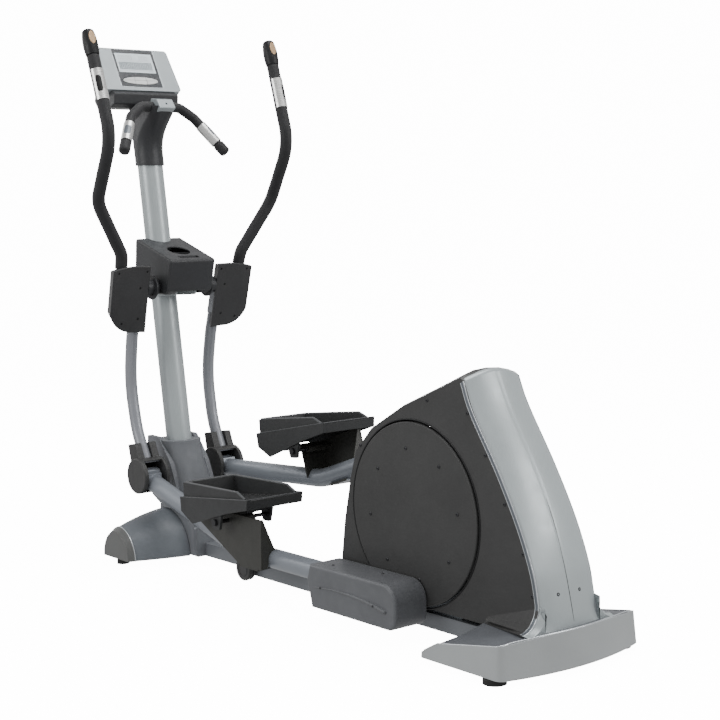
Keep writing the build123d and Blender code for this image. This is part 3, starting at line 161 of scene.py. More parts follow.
def painted(name, colour, rough=0.32, metallic=0.35, flake=2600, edge=0.0012, coat=0.15):
    """Silver paint: fine flakes under a thin coat, with slight orange peel."""
    g = Graph(name)
    flakes = g.noise(flake, 1)
    cloud = g.noise(5, 2)
    tone = g.both(g.both(cloud, flakes, share=0.35), g.noise(160, 2), share=0.12)
    g.colour(g.tones(tone, ((0.45, shade(colour, 0.93)), (0.7, colour),
                            (0.95, shade(colour, 1.07)))))
    g.roughness(g.spread(g.noise(45, 3), rough - 0.04, rough + 0.06))
    g.bump(g.both(g.noise(420, 2), flakes, share=0.15), 0.12, 0.0002, edge)
    return g.set(Metallic=metallic, Coat_Weight=coat, Coat_Roughness=0.22)


def brushed(name, colour, rough=0.3, stretch=(40, 40, 900)):
    """Machined or brushed metal, its lines round the axis."""
    g = Graph(name)
    lines = g.noise(1.0, 4, 0.7, stretch=stretch)
    g.colour(g.tones(lines, ((0.3, shade(colour, 0.86)), (0.7, colour))))
    g.roughness(g.spread(lines, rough - 0.08, rough + 0.12))
    g.bump(lines, 0.2, 0.0001, 0.0008)
    return g.set(Metallic=0.9)


def foam(name, colour):
    """Closed-cell foam: pores, a soft dull skin and finger-rubbed patches."""
    g = Graph(name)
    pores = g.cells(950, "SMOOTH_F1")
    skin = g.noise(24, 4, 0.6)
    g.colour(g.tones(g.both(skin, pores, share=0.4), ((0.35, shade(colour, 0.75)), (0.6, colour),
                                                      (0.9, shade(colour, 1.45)))))
    g.roughness(g.spread(skin, 0.5, 0.68))
    g.bump(g.both(pores, g.noise(1900, 2), share=0.6), 0.5, 0.0006)
    return g.set(Sheen_Weight=0.12, Sheen_Roughness=0.5, Specular_IOR_Level=0.35)


def display(name, colour):
    """Unlit LCD: pale glass with the faint columns of its segments."""
    g = Graph(name)
    rows = g.node("TexWave", {"Vector": g.coord, "Scale": 160, "Distortion": 0.0},
                  bands_direction="Y").outputs["Fac"]
    haze = g.noise(9, 2)
    g.colour(g.tones(g.both(haze, rows, share=0.25), ((0.3, shade(colour, 0.88)), (0.62, colour),
                                                      (0.9, shade(colour, 1.06)))))
    g.roughness(g.spread(g.noise(60, 2), 0.2, 0.3))
    g.bump(rows, 0.05, 0.00005)
    return g.set(Coat_Weight=0.6, Coat_Roughness=0.08)


def cast(name, colour):
    """Sand-cast iron."""
    g = Graph(name)
    rust = g.noise(30, 5, 0.65)
    g.colour(g.tones(rust, ((0.3, shade(colour, 0.7)), (0.6, colour),
                            (0.85, shade(colour, 1.4)))))
    g.roughness(g.spread(rust, 0.5, 0.7))
    g.bump(g.both(g.noise(300, 4), g.cells(500), share=0.4), 0.5, 0.0006, 0.001)
    return g.set(Metallic=0.6)


# Finish of each look: its maker, its colour and the maker's settings.
FINISHES = {
    "silver_steel": (painted, (0.24, 0.265, 0.29), dict(rough=0.36, metallic=0.3)),
    "link_steel": (painted, (0.23, 0.25, 0.28), dict(rough=0.34, metallic=0.35)),
    "arm_steel": (painted, (0.26, 0.27, 0.295), dict(rough=0.36, metallic=0.3)),
    "bracket_paint": (moulded, (0.042, 0.042, 0.038), dict(rough=0.42)),
    "mast_steel": (painted, (0.4, 0.44, 0.45), dict(rough=0.36, metallic=0.3)),
    "frame_steel": (painted, (0.16, 0.17, 0.185), dict(rough=0.38, metallic=0.3)),
    "clamp_plastic": (painted, (0.33, 0.365, 0.38), dict(rough=0.34, metallic=0.25)),
    "dark_plastic": (moulded, (0.044, 0.044, 0.044), dict(rough=0.4)),
    "cover_plastic": (moulded, (0.115, 0.119, 0.128), dict(rough=0.36)),
    "base_plastic": (moulded, (0.14, 0.154, 0.172), dict(rough=0.4)),
    "boot_plastic": (moulded, (0.15, 0.158, 0.172), dict(rough=0.38)),
    "deck_plastic": (moulded, (0.115, 0.122, 0.135), dict(rough=0.42)),
    "arm_plastic": (moulded, (0.036, 0.036, 0.0375), dict(rough=0.4)),
    "neck_plastic": (moulded, (0.034, 0.035, 0.038), dict(rough=0.36)),
    "pedal_plastic": (moulded, (0.032, 0.033, 0.034), dict(rough=0.45, grain=900, depth=0.0005,
                                                           strength=0.5)),
    # Lighter than pedal_plastic: painted highlight on the pedal's rims and studs.
    "rim_plastic": (moulded, (0.075, 0.078, 0.082), dict(rough=0.34)),
    "disc_plastic": (moulded, (0.044, 0.044, 0.044), dict(rough=0.42)),
    "black_plastic": (moulded, (0.01, 0.01, 0.011), dict(rough=0.38)),
    "silver_plastic": (painted, (0.385, 0.425, 0.435), dict(rough=0.34, metallic=0.2)),
    "skirt_plastic": (painted, (0.41, 0.43, 0.435), dict(rough=0.36, metallic=0.25)),
    "cap_plastic": (painted, (0.12, 0.123, 0.121), dict(rough=0.36, metallic=0.3)),
    "bright_trim": (painted, (0.7, 0.73, 0.76), dict(rough=0.2, metallic=0.7)),
    "groove_trim": (painted, (0.13, 0.145, 0.165), dict(rough=0.35, metallic=0.4)),
    "foam": (foam, (0.014, 0.014, 0.0155), dict()),
    "gold_plastic": (painted, (0.62, 0.42, 0.25), dict(rough=0.25, metallic=0.5)),
    "pulse_metal": (brushed, (0.8, 0.8, 0.79), dict(rough=0.28)),
    "steel": (brushed, (0.42, 0.42, 0.43), dict(rough=0.32)),
    "dark_steel": (brushed, (0.06, 0.06, 0.065), dict(rough=0.35)),
    "cast_iron": (cast, (0.1, 0.1, 0.1), dict()),
    "panel_black": (moulded, (0.03, 0.033, 0.038), dict(rough=0.24, grain=2400, strength=0.1,
                                                        variation=0.05)),
    "screen": (display, (0.6, 0.68, 0.72), dict()),
    "lcd_ink": (moulded, (0.53, 0.6, 0.64), dict(rough=0.3, strength=0.05)),
    "key_white": (moulded, (0.72, 0.73, 0.72), dict(rough=0.3, strength=0.12, variation=0.04)),
    "rubber": (moulded, (0.016, 0.016, 0.016), dict(rough=0.62, grain=700, strength=0.4)),
}
LOOKS = {name: make(f"{name}_look", colour, **settings)
         for name, (make, colour, settings) in FINISHES.items()}

# CAD nodes whose finish differs in tone from the rest of their slot.
NODE_LOOKS = {
    "mast_tube": "mast_steel", "front_covers": "base_plastic", "front_end_caps": "cap_plastic",
    "mast_boot": "boot_plastic", "mast_boot_plates": "boot_plastic", "neck_cover": "neck_plastic",
    "rear_skirt": "skirt_plastic", "rear_deck": "deck_plastic", "bottle_holder": "neck_plastic",
    "console_tray": "neck_plastic", "front_frame": "frame_steel", "rear_frame": "frame_steel",
    "handlebar_clamp": "clamp_plastic", "console_shell": "clamp_plastic",
    "left_arm_cover": "arm_plastic", "right_arm_cover": "arm_plastic",
    "left_link_cover": "cover_plastic", "right_link_cover": "cover_plastic",
    "left_pedal_bolt": "dark_steel", "right_pedal_bolt": "dark_steel", "arm_axle": "dark_steel",
}
SLOTS = {row["node"]: row["material_slot"] for row in frame["record"]["subparts"]}

for node_name, node_object in frame["nodes"].items():
    look = LOOKS[NODE_LOOKS.get(node_name, SLOTS[node_name])]
    if not node_object.material_slots:
        raise RuntimeError(f"{node_name} has no material slot")
    for material_slot in node_object.material_slots:
        material_slot.link = "OBJECT"
        material_slot.material = look


# ---- mesh helpers ----
def about_y(centre, angle):
    """Matrix that turns about an axis along Y through a point given as X and Z."""
    middle = Vector((centre[0], 0, centre[1]))
    turn = Matrix.Rotation(math.radians(angle), 4, "Y")
    return Matrix.Translation(middle) @ turn @ Matrix.Translation(-middle)


def side_matrix(kind, sign):
    """Takes a right-hand piece, as drawn, to its place on one side of the machine."""
    mirror = Matrix.Diagonal((1, sign, 1, 1))
    if kind == "arm":
        return about_y(ARM_AXLE, sign * ARM_SWING) @ mirror
    if kind == "link" and sign > 0:
        return (Matrix.Translation((LINK_MOVE[0], 0, LINK_MOVE[1]))
                @ about_y(LINK_PIVOT, LINK_TURN))
    return mirror


def piece(name, bm, looks, body, matrix=None, smooth=40, outward=False):
    """Makes an object of a mesh drawn in millimetres, and lets it ride on a body."""
    if outward:
        bmesh.ops.recalc_face_normals(bm, faces=bm.faces)
    if matrix is not None:
        bm.transform(matrix)
        if matrix.determinant() < 0:
            bmesh.ops.reverse_faces(bm, faces=bm.faces)
    bm.transform(Matrix.Scale(MM, 4) @ Matrix.Translation((SHIFT_X, 0, 0)))
    mesh = bpy.data.meshes.new(name)
    bm.to_mesh(mesh)
    bm.free()
    made = bpy.data.objects.new(name, mesh)
    bpy.context.scene.collection.objects.link(made)
    for look in looks:
        mesh.materials.append(LOOKS[look])
    mesh.shade_smooth()
    if smooth < 180:
        mesh.set_sharp_from_angle(angle=math.radians(smooth))
    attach(made, body)
    return made


def circle(count):
    """Cosine and sine of evenly spaced angles, once round."""
    return [(math.cos(a), math.sin(a)) for a in (2 * math.pi * k / count for k in range(count))]


def quads(bm, rows, closed=True, material=0):
    """Joins rows of vertices with four-cornered faces, round each row if it is closed."""
    for a, b in zip(rows, rows[1:]):
        count = len(a)
        for k in range(count if closed else count - 1):
            n = (k + 1) % count
            bm.faces.new((a[k], a[n], b[n], b[k])).material_index = material


def rounded_path(points, radii, step=4.0, arc_parts=24):
    """Evenly spaced points along straight runs joined by tangent arcs."""
    points = [Vector(p) for p in points]
    dense = [points[0]]
    for index, radius in enumerate(radii, 1):
        corner = points[index]
        into = (corner - points[index - 1]).normalized()
        away = (points[index + 1] - corner).normalized()
        turn = into.angle(away)
        reach = radius * math.tan(turn / 2)
        inward = (away - into).normalized()
        centre = corner + inward * (radius / math.cos(turn / 2))
        start, axis = corner - into * reach - centre, into.cross(away).normalized()
        for part in range(arc_parts + 1):
            dense.append(centre + Matrix.Rotation(turn * part / arc_parts, 3, axis) @ start)
    dense.append(points[-1])
    lengths = [0.0]
    for a, b in zip(dense, dense[1:]):
        lengths.append(lengths[-1] + (b - a).length)
    count = max(2, round(lengths[-1] / step))
    path, at = [], 0
    for number in range(count + 1):
        want = lengths[-1] * number / count
        while at < len(lengths) - 2 and lengths[at + 1] < want:
            at += 1
        gap = lengths[at + 1] - lengths[at] or 1.0
        path.append(dense[at].lerp(dense[at + 1], (want - lengths[at]) / gap))
    return path


def frames_along(path):
    """Direction and two cross directions at each point of a path, without twist."""
    last = len(path) - 1
    ways = [(path[min(index + 1, last)] - path[max(index - 1, 0)]).normalized()
            for index in range(len(path))]
    side = ways[0].orthogonal().normalized()
    rows = []
    for way in ways:
        side = (side - way * side.dot(way)).normalized()
        rows.append((way, side, way.cross(side)))
    return rows


def sweep_rings(bm, path, radius_at, sides):
    """Adds a round tube along a path; radius_at takes the distance and the whole length."""
    length, total = 0.0, sum((b - a).length for a, b in zip(path, path[1:]))
    rings = []
    for index, (point, (_, u, v)) in enumerate(zip(path, frames_along(path))):
        if index:
            length += (point - path[index - 1]).length
        radius = radius_at(length, total)
        rings.append([bm.verts.new(point + (u * c + v * s) * radius) for c, s in circle(sides)])
    quads(bm, rings)
    bm.faces.new(list(reversed(rings[0])))
    bm.faces.new(rings[-1])


def ring_maker(bm, centre, axis):
    """Returns a function that adds a ring of vertices round an axis, or one on the axis."""
    axis, centre = Vector(axis).normalized(), Vector(centre)
    u = axis.orthogonal().normalized()
    v = axis.cross(u)

    def ring(radius, along, sides):
        if radius == 0:
            return [bm.verts.new(centre + axis * along)]
        return [bm.verts.new(centre + axis * along + (u * c + v * s) * radius)
                for c, s in circle(sides)]

    return ring


def lathe(bm, centre, axis, profile, sides):
    """Adds a turned shape: profile is (radius, distance along the axis), and may end at 0."""
    ring = ring_maker(bm, centre, axis)
    rings = [ring(radius, along, sides) for radius, along in profile]
    for a, b in zip(rings, rings[1:]):
        for k in range(sides):
            n = (k + 1) % sides
            corners = (a[k % len(a)], a[n % len(a)], b[n % len(b)], b[k % len(b)])
            bm.faces.new(list(dict.fromkeys(corners)))


def screw(bm, centre, axis, head, tall):
    """Adds a pan-head screw with a six-sided socket."""
    socket = head * 0.42
    lathe(bm, centre, axis, ((head, -0.2), (head, tall * 0.35), (head * 0.9, tall * 0.75),
                             (head * 0.68, tall), (socket * 1.25, tall)), 24)
    ring = ring_maker(bm, centre, axis)
    rim = ring(socket * 1.25, tall, 24)
    lip, floor = ring(socket, tall, 6), ring(socket, tall * 0.25, 6)
    for k in range(6):
        n = (k + 1) % 6
        bm.faces.new([*[rim[(4 * k + j) % 24] for j in range(5)], lip[n], lip[k]])
        bm.faces.new((lip[k], lip[n], floor[n], floor[k]))
    bm.faces.new(floor)


def slab(bm, outline, origin, u, v, low, high):
    """Adds a flat shape with thickness, its outline given along two directions."""
    normal = u.cross(v).normalized()
    rows = [[bm.verts.new(origin + u * a + v * b + normal * h) for a, b in outline]
            for h in (low, high)]
    bm.faces.new(list(reversed(rows[0])))
    bm.faces.new(rows[1])
    quads(bm, rows)


def moulding(bm, path, outs, profile, materials):
    """Adds a strip along a path: profile is (across, out) and materials has one per facet."""
    rows = []
    last = len(path) - 1
    for index, (point, out) in enumerate(zip(path, outs)):
        way = (path[min(index + 1, last)] - path[max(index - 1, 0)]).normalized()
        across = way.cross(out).normalized()
        rows.append([bm.verts.new(point + across * a + out * b) for a, b in profile])
    for a, b in zip(rows, rows[1:]):
        for k, material in enumerate(materials):
            bm.faces.new((a[k], a[k + 1], b[k + 1], b[k])).material_index = material
    close_ends(bm, rows)


def close_ends(bm, rows, end_material=0):
    """Adds the faces over the first and the last row of vertices."""
    bm.faces.new(rows[0])
    bm.faces.new(list(reversed(rows[-1]))).material_index = end_material


def smooth_line(points, each):
    """A Catmull-Rom line through points given as X and Z."""
    points = [Vector(p) for p in points]
    ends = [points[0] * 2 - points[1], *points, points[-1] * 2 - points[-2]]
    line = []
    for a, b, c, d in zip(ends, ends[1:], ends[2:], ends[3:]):
        for part in range(each):
            t = part / each
            line.append(0.5 * (2 * b + (c - a) * t + (2 * a - 5 * b + 4 * c - d) * t * t
                               + (3 * b - a - 3 * c + d) * t ** 3))
    line.append(points[-1])
    return line


# ---- camera, floor and light ----
VIEW_AZIMUTH, VIEW_ELEVATION, VIEW_ROLL = 50.66, 5.70, -1.05
CAMERA_PLACE = (3.4906, -2.7021, 1.1373)
LENS_MM, SENSOR_MM = 75.6, 36
# The floor shows as a bright backdrop but throws no light on the machine.
FLOOR_GLOW = 14.0
FLOOR_SIDES = 96
FLOOR_PROFILE = ((0.0, 0.0), (5.0, 0.0), (8.0, 0.0), (11.0, 0.6), (13.0, 2.2), (14.0, 5.0),
                 (14.0, 12.0))
WORLD_STRENGTH = 0.62


def add_camera():
    """Camera at the recovered viewpoint, looking along azimuth and elevation in degrees."""
    az, el, roll = (math.radians(a) for a in (VIEW_AZIMUTH, VIEW_ELEVATION, VIEW_ROLL))
    back = Vector((math.sin(az) * math.cos(el), -math.cos(az) * math.cos(el), math.sin(el)))
    right = Vector((math.cos(az), math.sin(az), 0))
    up = back.cross(right)
    across = right * math.cos(roll) + up * math.sin(roll)
    upward = up * math.cos(roll) - right * math.sin(roll)
    lens = bpy.data.cameras.new("camera")
    lens.lens, lens.sensor_width = LENS_MM, SENSOR_MM
    lens.clip_end = 60
    camera = bpy.data.objects.new("camera", lens)
    camera.matrix_world = Matrix.Translation(CAMERA_PLACE) @ Matrix(
        (across, upward, back)).transposed().to_4x4()
    bpy.context.scene.collection.objects.link(camera)
    bpy.context.scene.camera = camera


def add_floor():
    """Round studio floor whose edge curves up into a backdrop."""
    g = Graph("floor_look")
    cloud = g.noise(0.7, 3)
    g.colour(g.tones(cloud, ((0.3, (0.93, 0.93, 0.93)), (0.7, (0.96, 0.96, 0.96)))))
    g.roughness(g.spread(g.noise(14, 3), 0.55, 0.7))
    g.bump(g.noise(240, 3), 0.04, 0.0005)
    bm = bmesh.new()
    lathe(bm, (0, 0, 0), (0, 0, 1), FLOOR_PROFILE, FLOOR_SIDES)
    bmesh.ops.reverse_faces(bm, faces=bm.faces)
    mesh = bpy.data.meshes.new("studio_floor")
    bm.to_mesh(mesh)
    bm.free()
    mesh.shade_smooth()
    mesh.materials.append(g.set(Specular_IOR_Level=0.2, Emission_Color=(1, 1, 1, 1),
                                Emission_Strength=FLOOR_GLOW))
    floor = bpy.data.objects.new("studio_floor", mesh)
    bpy.context.scene.collection.objects.link(floor)
    floor.visible_diffuse = floor.visible_glossy = False


def add_light(name, place, aim, size, power):
    lamp = bpy.data.lights.new(name, "AREA")
    lamp.shape, lamp.size, lamp.size_y = "RECTANGLE", size[0], size[1]
    lamp.energy = power
    made = bpy.data.objects.new(name, lamp)
    made.location = place
    made.rotation_euler = (Vector(aim) - Vector(place)).to_track_quat("-Z", "Y").to_euler()
    bpy.context.scene.collection.objects.link(made)


def add_world():
    world = bpy.data.worlds.new("studio")
    world.use_nodes = True
    background = world.node_tree.nodes["Background"]
    background.inputs["Color"].default_value = (1, 1, 1, 1)
    background.inputs["Strength"].default_value = WORLD_STRENGTH
    bpy.context.scene.world = world


add_camera()
add_floor()
add_world()
add_light("overhead", (0.6, 0.4, 4.6), (0.1, 0, 0.4), (3.2, 2.4), 130)
add_light("rear_right", (4.4, 2.6, 2.8), (0.6, 0, 0.5), (2.0, 2.4), 105)
add_light("left_side", (-1.2, -5.2, 2.6), (0, 0, 0.8), (2.5, 2.0), 105)
add_light("front", (-4.6, -1.6, 2.6), (-0.6, 0, 0.9), (2.5, 2.5), 35)


# ---- foam ----
GRIP_RADIUS, GRIP_LIP, GRIP_STEP_DOWN = 20.2, 7.0, 3.2
GRIP_SWELL, GRIP_SWELL_LENGTH = 0.6, 60.0
GRIP_TOP_GAP = 31
BAR_RADIUS, BAR_END_RADIUS, BAR_GROOVE_RADIUS, BAR_NOSE_RADIUS = 16.5, 18.6, 15.6, 7.6
BAR_END, BAR_GROOVE_END, BAR_NOSE = 42, 46, 11


def rounding(edge, reach):
    """Quarter-circle rise from 0 to 1 over a reach from an end."""
    return math.sqrt(max(0.0, 1 - (1 - min(edge, reach) / reach) ** 2))


def grip_radius(seed):
    """Radius of a handle's sleeve: rounded ends and slight unevenness along it."""
    def at(along, total):
        edge = min(along, total - along)
        uneven = GRIP_SWELL * noise.noise(Vector((along / GRIP_SWELL_LENGTH, seed, 0)))
        return (GRIP_RADIUS - GRIP_STEP_DOWN * (1 - rounding(edge, GRIP_LIP))
                + uneven * min(1, edge / 20))
    return at


def handle_grip(side, sign):
    """Foam sleeve of a swing handle, from inside the arm cover up to the pod."""
    start = Vector(HANDLE[1]) + (Vector(HANDLE[0]) - Vector(HANDLE[1])) * 0.45
    top, below = Vector(HANDLE[-1]), Vector(HANDLE[-2])
    end = top + (below - top).normalized() * GRIP_TOP_GAP
    path = rounded_path([start, *HANDLE[1:-1], end], HANDLE_RADII, step=3.0)
    bm = bmesh.new()
    sweep_rings(bm, path, grip_radius(sign * 3.0), sides=40)
    made = piece(f"{side}_foam_grip", bm, ("foam",), f"{side}_arm",
                 side_matrix("arm", sign))
    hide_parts(f"{side}_handle_grip")


def fixed_bar():
    """Sleeved fixed bar, with a thicker cap and a narrow groove at each end."""
    right = [Vector(p) for p in BAR]
    left = [Vector((p.x, -p.y, p.z)) for p in right]
    path = rounded_path([*left, *reversed(right)], BAR_RADII, step=2.0)

    def radius(along, total):
        edge = min(along, total - along)
        full = BAR_RADIUS
        if edge < BAR_END:
            full = BAR_END_RADIUS
        elif edge < BAR_GROOVE_END:
            full = BAR_GROOVE_RADIUS
        if edge <= BAR_NOSE:
            full = BAR_NOSE_RADIUS + (full - BAR_NOSE_RADIUS) * rounding(edge, BAR_NOSE)
        return full + 0.15 * noise.noise(Vector((along / 45.0, 1.7, 0)))

    bm = bmesh.new()
    sweep_rings(bm, path, radius, sides=36)
    made = piece("fixed_bar_foam", bm, ("foam",), "frame", smooth=35)
    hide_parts("fixed_handlebar")


for side, sign in SIDES:
    handle_grip(side, sign)
fixed_bar()


# ---- welded pieces painted in two tones ----
# The pedal bracket reaches over this stretch of the link tube, above this height.
BRACKET_X, BRACKET_LOW = (-360, -36), 94
# Centre line of the link tube: level up to its bend, then rising towards the front.
TUBE_Y, TUBE_Z, TUBE_REACH = 157, 128, 34.5
TUBE_BEND_X, TUBE_RISE = -205, 0.266
# The arm's hub and strut, painted black, lie inside and above this corner.
HUB_Y, HUB_Z = 134, 840


def two_tone(node, body, looks, is_second, name):
    """A CAD piece's own mesh, with some of its faces in a second finish."""
    bm = bmesh.new()
    bm.from_mesh(frame["nodes"][node].data)
    for face in bm.faces:
        x, y, z = face.calc_center_median() / MM
        face.material_index = int(is_second(x - SHIFT_X, abs(y), z))
    mesh = bpy.data.meshes.new(name)
    bm.to_mesh(mesh)
    bm.free()
    for look in looks:
        mesh.materials.append(LOOKS[look])
    mesh.shade_smooth()
    mesh.set_sharp_from_angle(angle=math.radians(30))
    made = bpy.data.objects.new(name, mesh)
    bpy.context.scene.collection.objects.link(made)
    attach(made, body)
    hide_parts(node)


def on_bracket(sign):
    """Tells the pedal bracket's faces from the link tube's, on one side."""
    back = (side_matrix("link", 1) if sign > 0 else Matrix.Identity(4)).inverted()

    def test(x, y, z):
        drawn = back @ Vector((x, y, z))
        if not BRACKET_X[0] < drawn.x < BRACKET_X[1]:
            return False
        tube_z = TUBE_Z + max(0, TUBE_BEND_X - drawn.x) * TUBE_RISE
        off_tube = math.hypot(drawn.y - TUBE_Y, drawn.z - tube_z) > TUBE_REACH
        return off_tube and drawn.z > BRACKET_LOW

    return test


for side, sign in SIDES:
    two_tone(f"{side}_link_tube", f"{side}_link", ("link_steel", "bracket_paint"),
             on_bracket(sign), f"{side}_link_paint")
    two_tone(f"{side}_arm_tube", f"{side}_arm", ("arm_steel", "neck_plastic"),
             lambda x, y, z: y < HUB_Y and z > HUB_Z, f"{side}_arm_paint")


# ---- pulse sensors ----
def sensor_window(bm, middle, axis, facing, radius, length, half_angle):
    """Adds a thin curved pad on a round sleeve, narrower towards its ends."""
    columns, stations, straight, narrowing = 10, 12, 0.7, 0.35
    sunk, raised = radius - 0.3, radius + 0.35
    facing = Vector(facing)
    facing = (facing - axis * facing.dot(axis)).normalized()
    cross = axis.cross(facing)
    rows = []
    for station in range(stations + 1):
        t = station / stations * 2 - 1
        width = half_angle * (1 - max(0, abs(t) - straight) / (1 - straight) * narrowing)
        angles = [width * (2 * k / columns - 1) for k in range(columns + 1)]
        rows.append([[bm.verts.new(middle + axis * (t * length / 2)
                                   + (facing * math.cos(a) + cross * math.sin(a)) * r)
                      for a in angles] for r in (sunk, raised)])
    for a, b in zip(rows, rows[1:]):
        for k in range(columns):
            bm.faces.new((a[1][k], a[1][k + 1], b[1][k + 1], b[1][k]))
            bm.faces.new((a[0][k + 1], a[0][k], b[0][k], b[0][k + 1]))
        bm.faces.new((a[0][0], a[1][0], b[1][0], b[0][0]))
        bm.faces.new((b[0][-1], b[1][-1], a[1][-1], a[0][-1]))
    first, final = rows[0], rows[-1]
    for k in range(columns):
        bm.faces.new((first[0][k], first[0][k + 1], first[1][k + 1], first[1][k]))
        bm.faces.new((final[1][k], final[1][k + 1], final[0][k + 1], final[0][k]))


def pulse_windows():
    """Dark windows in the pulse plates of the fixed bar and of the swing handles."""
    for side, sign in SIDES:
        low, high = Vector(BAR[0]), Vector(BAR[1])
        along = (high - low).normalized()
        bm = bmesh.new()
        sensor_window(bm, low + along * 87, along, (0.75, 0.55, 0.35), 18.5, 36, 0.62)
        piece(f"{side}_bar_sensor", bm, ("groove_trim",), "frame",
              side_matrix("", sign))
        top, below = Vector(HANDLE[-1]), Vector(HANDLE[-2])
        way = (top - below).normalized()
        bm = bmesh.new()
        sensor_window(bm, top - way * 130, way, (0.8, 0.45, 0.2), 22.0, 52, 0.42)
        piece(f"{side}_grip_sensor", bm, ("black_plastic",), f"{side}_arm",
              side_matrix("arm", sign))


pulse_windows()


# ---- screws ----
BIG_SCREW = {"head": 5.2, "tall": 2.0}
DISC_SCREWS, DISC_SCREW_CIRCLE, DISC_SCREW_START = 8, 175, 7.8
HOUSING_SCREWS = ((712, 620), (775, 520), (842, 405), (905, 290), (935, 190), (284, 492),
                  (560, 640))
# Arm cover's rear face: a corner of it, its lean in degrees, and its screws (Y, rise).
ARM_COVER_X, ARM_COVER_Z, ARM_COVER_LEAN, ARM_SCREW_SUNK = -722, 966, 14.5, 3.2
ARM_COVER_SCREWS = ((142, -18), (246, -21), (163, -72), (163, -175), (222, -188))


def all_screws():
    """Screw heads of the crank discs, the housing and the arm covers."""
    bm = bmesh.new()
    for sign in (-1, 1):
        for index in range(DISC_SCREWS):
            angle = math.radians(DISC_SCREW_START + 360 / DISC_SCREWS * index)
            x = DISC[0] + DISC_SCREW_CIRCLE * math.cos(angle)
            z = DISC[1] + DISC_SCREW_CIRCLE * math.sin(angle)
            screw(bm, (x, sign * DISC_FACE, z), (0, sign, 0), **BIG_SCREW)
    heads = piece("disc_screw_heads", bm, ("dark_steel",), "crank")
    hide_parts("disc_screws")
    bm = bmesh.new()
    for sign in (-1, 1):
        for x, z in HOUSING_SCREWS:
            screw(bm, (x, sign * SHELL_HALF, z), (0, sign, 0), **BIG_SCREW)
    heads = piece("housing_screw_heads", bm, ("dark_steel",), "frame")
    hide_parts("housing_screws")
    lean = math.radians(ARM_COVER_LEAN)
    out = Vector((math.cos(lean), 0, -math.sin(lean)))
    up = Vector((math.sin(lean), 0, math.cos(lean)))
    for side, sign in SIDES:
        bm = bmesh.new()
        for across, rise in ARM_COVER_SCREWS:
            centre = Vector((ARM_COVER_X, across, ARM_COVER_Z)) + up * rise
            centre -= out * ARM_SCREW_SUNK
            screw(bm, centre, out, head=3.9, tall=1.6)
        piece(f"{side}_arm_cover_screws", bm, ("dark_steel",), f"{side}_arm",
              side_matrix("arm", sign))


all_screws()


# ---- housing trim and back cover ----
# Rear base's sloping top: X, height at its side edge, height beside the housing.
DECK_LEVELS = ((600, 14, 17), (672, 20, 24), (747, 62, 74), (772, 66, 95), (960, 98, 107),
               (1060, 114, 113))
DECK_EDGE_Y, DECK_SLOPE = 245, 141


def deck_height(x, y):
    """Height of the rear base's sloping top."""
    share = min(1.0, max(0.0, (DECK_EDGE_Y - abs(y)) / DECK_SLOPE))
    for (x0, edge0, inner0), (x1, edge1, inner1) in zip(DECK_LEVELS, DECK_LEVELS[1:]):
        if x <= x1:
            t = (x - x0) / (x1 - x0)
            edge, inner = edge0 + (edge1 - edge0) * t, inner0 + (inner1 - inner0) * t
            return edge + (inner - edge) * share
    return DECK_LEVELS[-1][1]


TRIM_PROFILE = ((-14.0, -1.0), (-14.0, 0.7), (-13.2, 1.1), (-11.6, 1.1), (-11.0, 0.45),
                (-4.0, 0.45), (-3.4, 0.9), (-2.6, 1.2), (-0.6, 1.2), (0.0, 0.7), (0.0, -1.0))
TRIM_FINISHES = (0, 0, 0, 1, 1, 1, 0, 0, 0, 0)
TRIM_FLARE, TRIM_FLARE_PARTS, TRIM_FLARE_BACK = math.radians(84), 12, 3


def housing_trim():
    """Bright double line with a grey groove between, along the rear edge of the shells."""
    for side, sign in SIDES:
        line = smooth_line(COVER_EDGE, 10)
        path = [Vector((p[0], sign * (SHELL_HALF - 0.1), p[1])) for p in line]
        outs = [Vector((0, sign, 0))] * len(path)
        for part in range(1, TRIM_FLARE_PARTS + 1):
            share = part / TRIM_FLARE_PARTS
            cos, sin = math.cos(TRIM_FLARE * share), math.sin(TRIM_FLARE * share)
            path.append(Vector((FOOT_X + TRIM_FLARE_BACK * share,
                                sign * (SHELL_HALF + FOOT_RADIUS * (1 - cos)),
                                FOOT_FLOOR + FOOT_RADIUS * (1 - sin))))
            outs.append(Vector((0, sign * cos, sin)))
        bm = bmesh.new()
        moulding(bm, path, outs, [(a * sign, b) for a, b in TRIM_PROFILE], TRIM_FINISHES)
        piece(f"{side}_housing_trim", bm, ("bright_trim", "groove_trim"), "frame",
              smooth=30, outward=True)


housing_trim()


FAIRING_START_X, FAIRING_START_RADIUS, FAIRING_PARTS, FAIRING_ARC = 764, 9, 16, 12
FAIRING_TAIL = (5, 10, 15, 20)


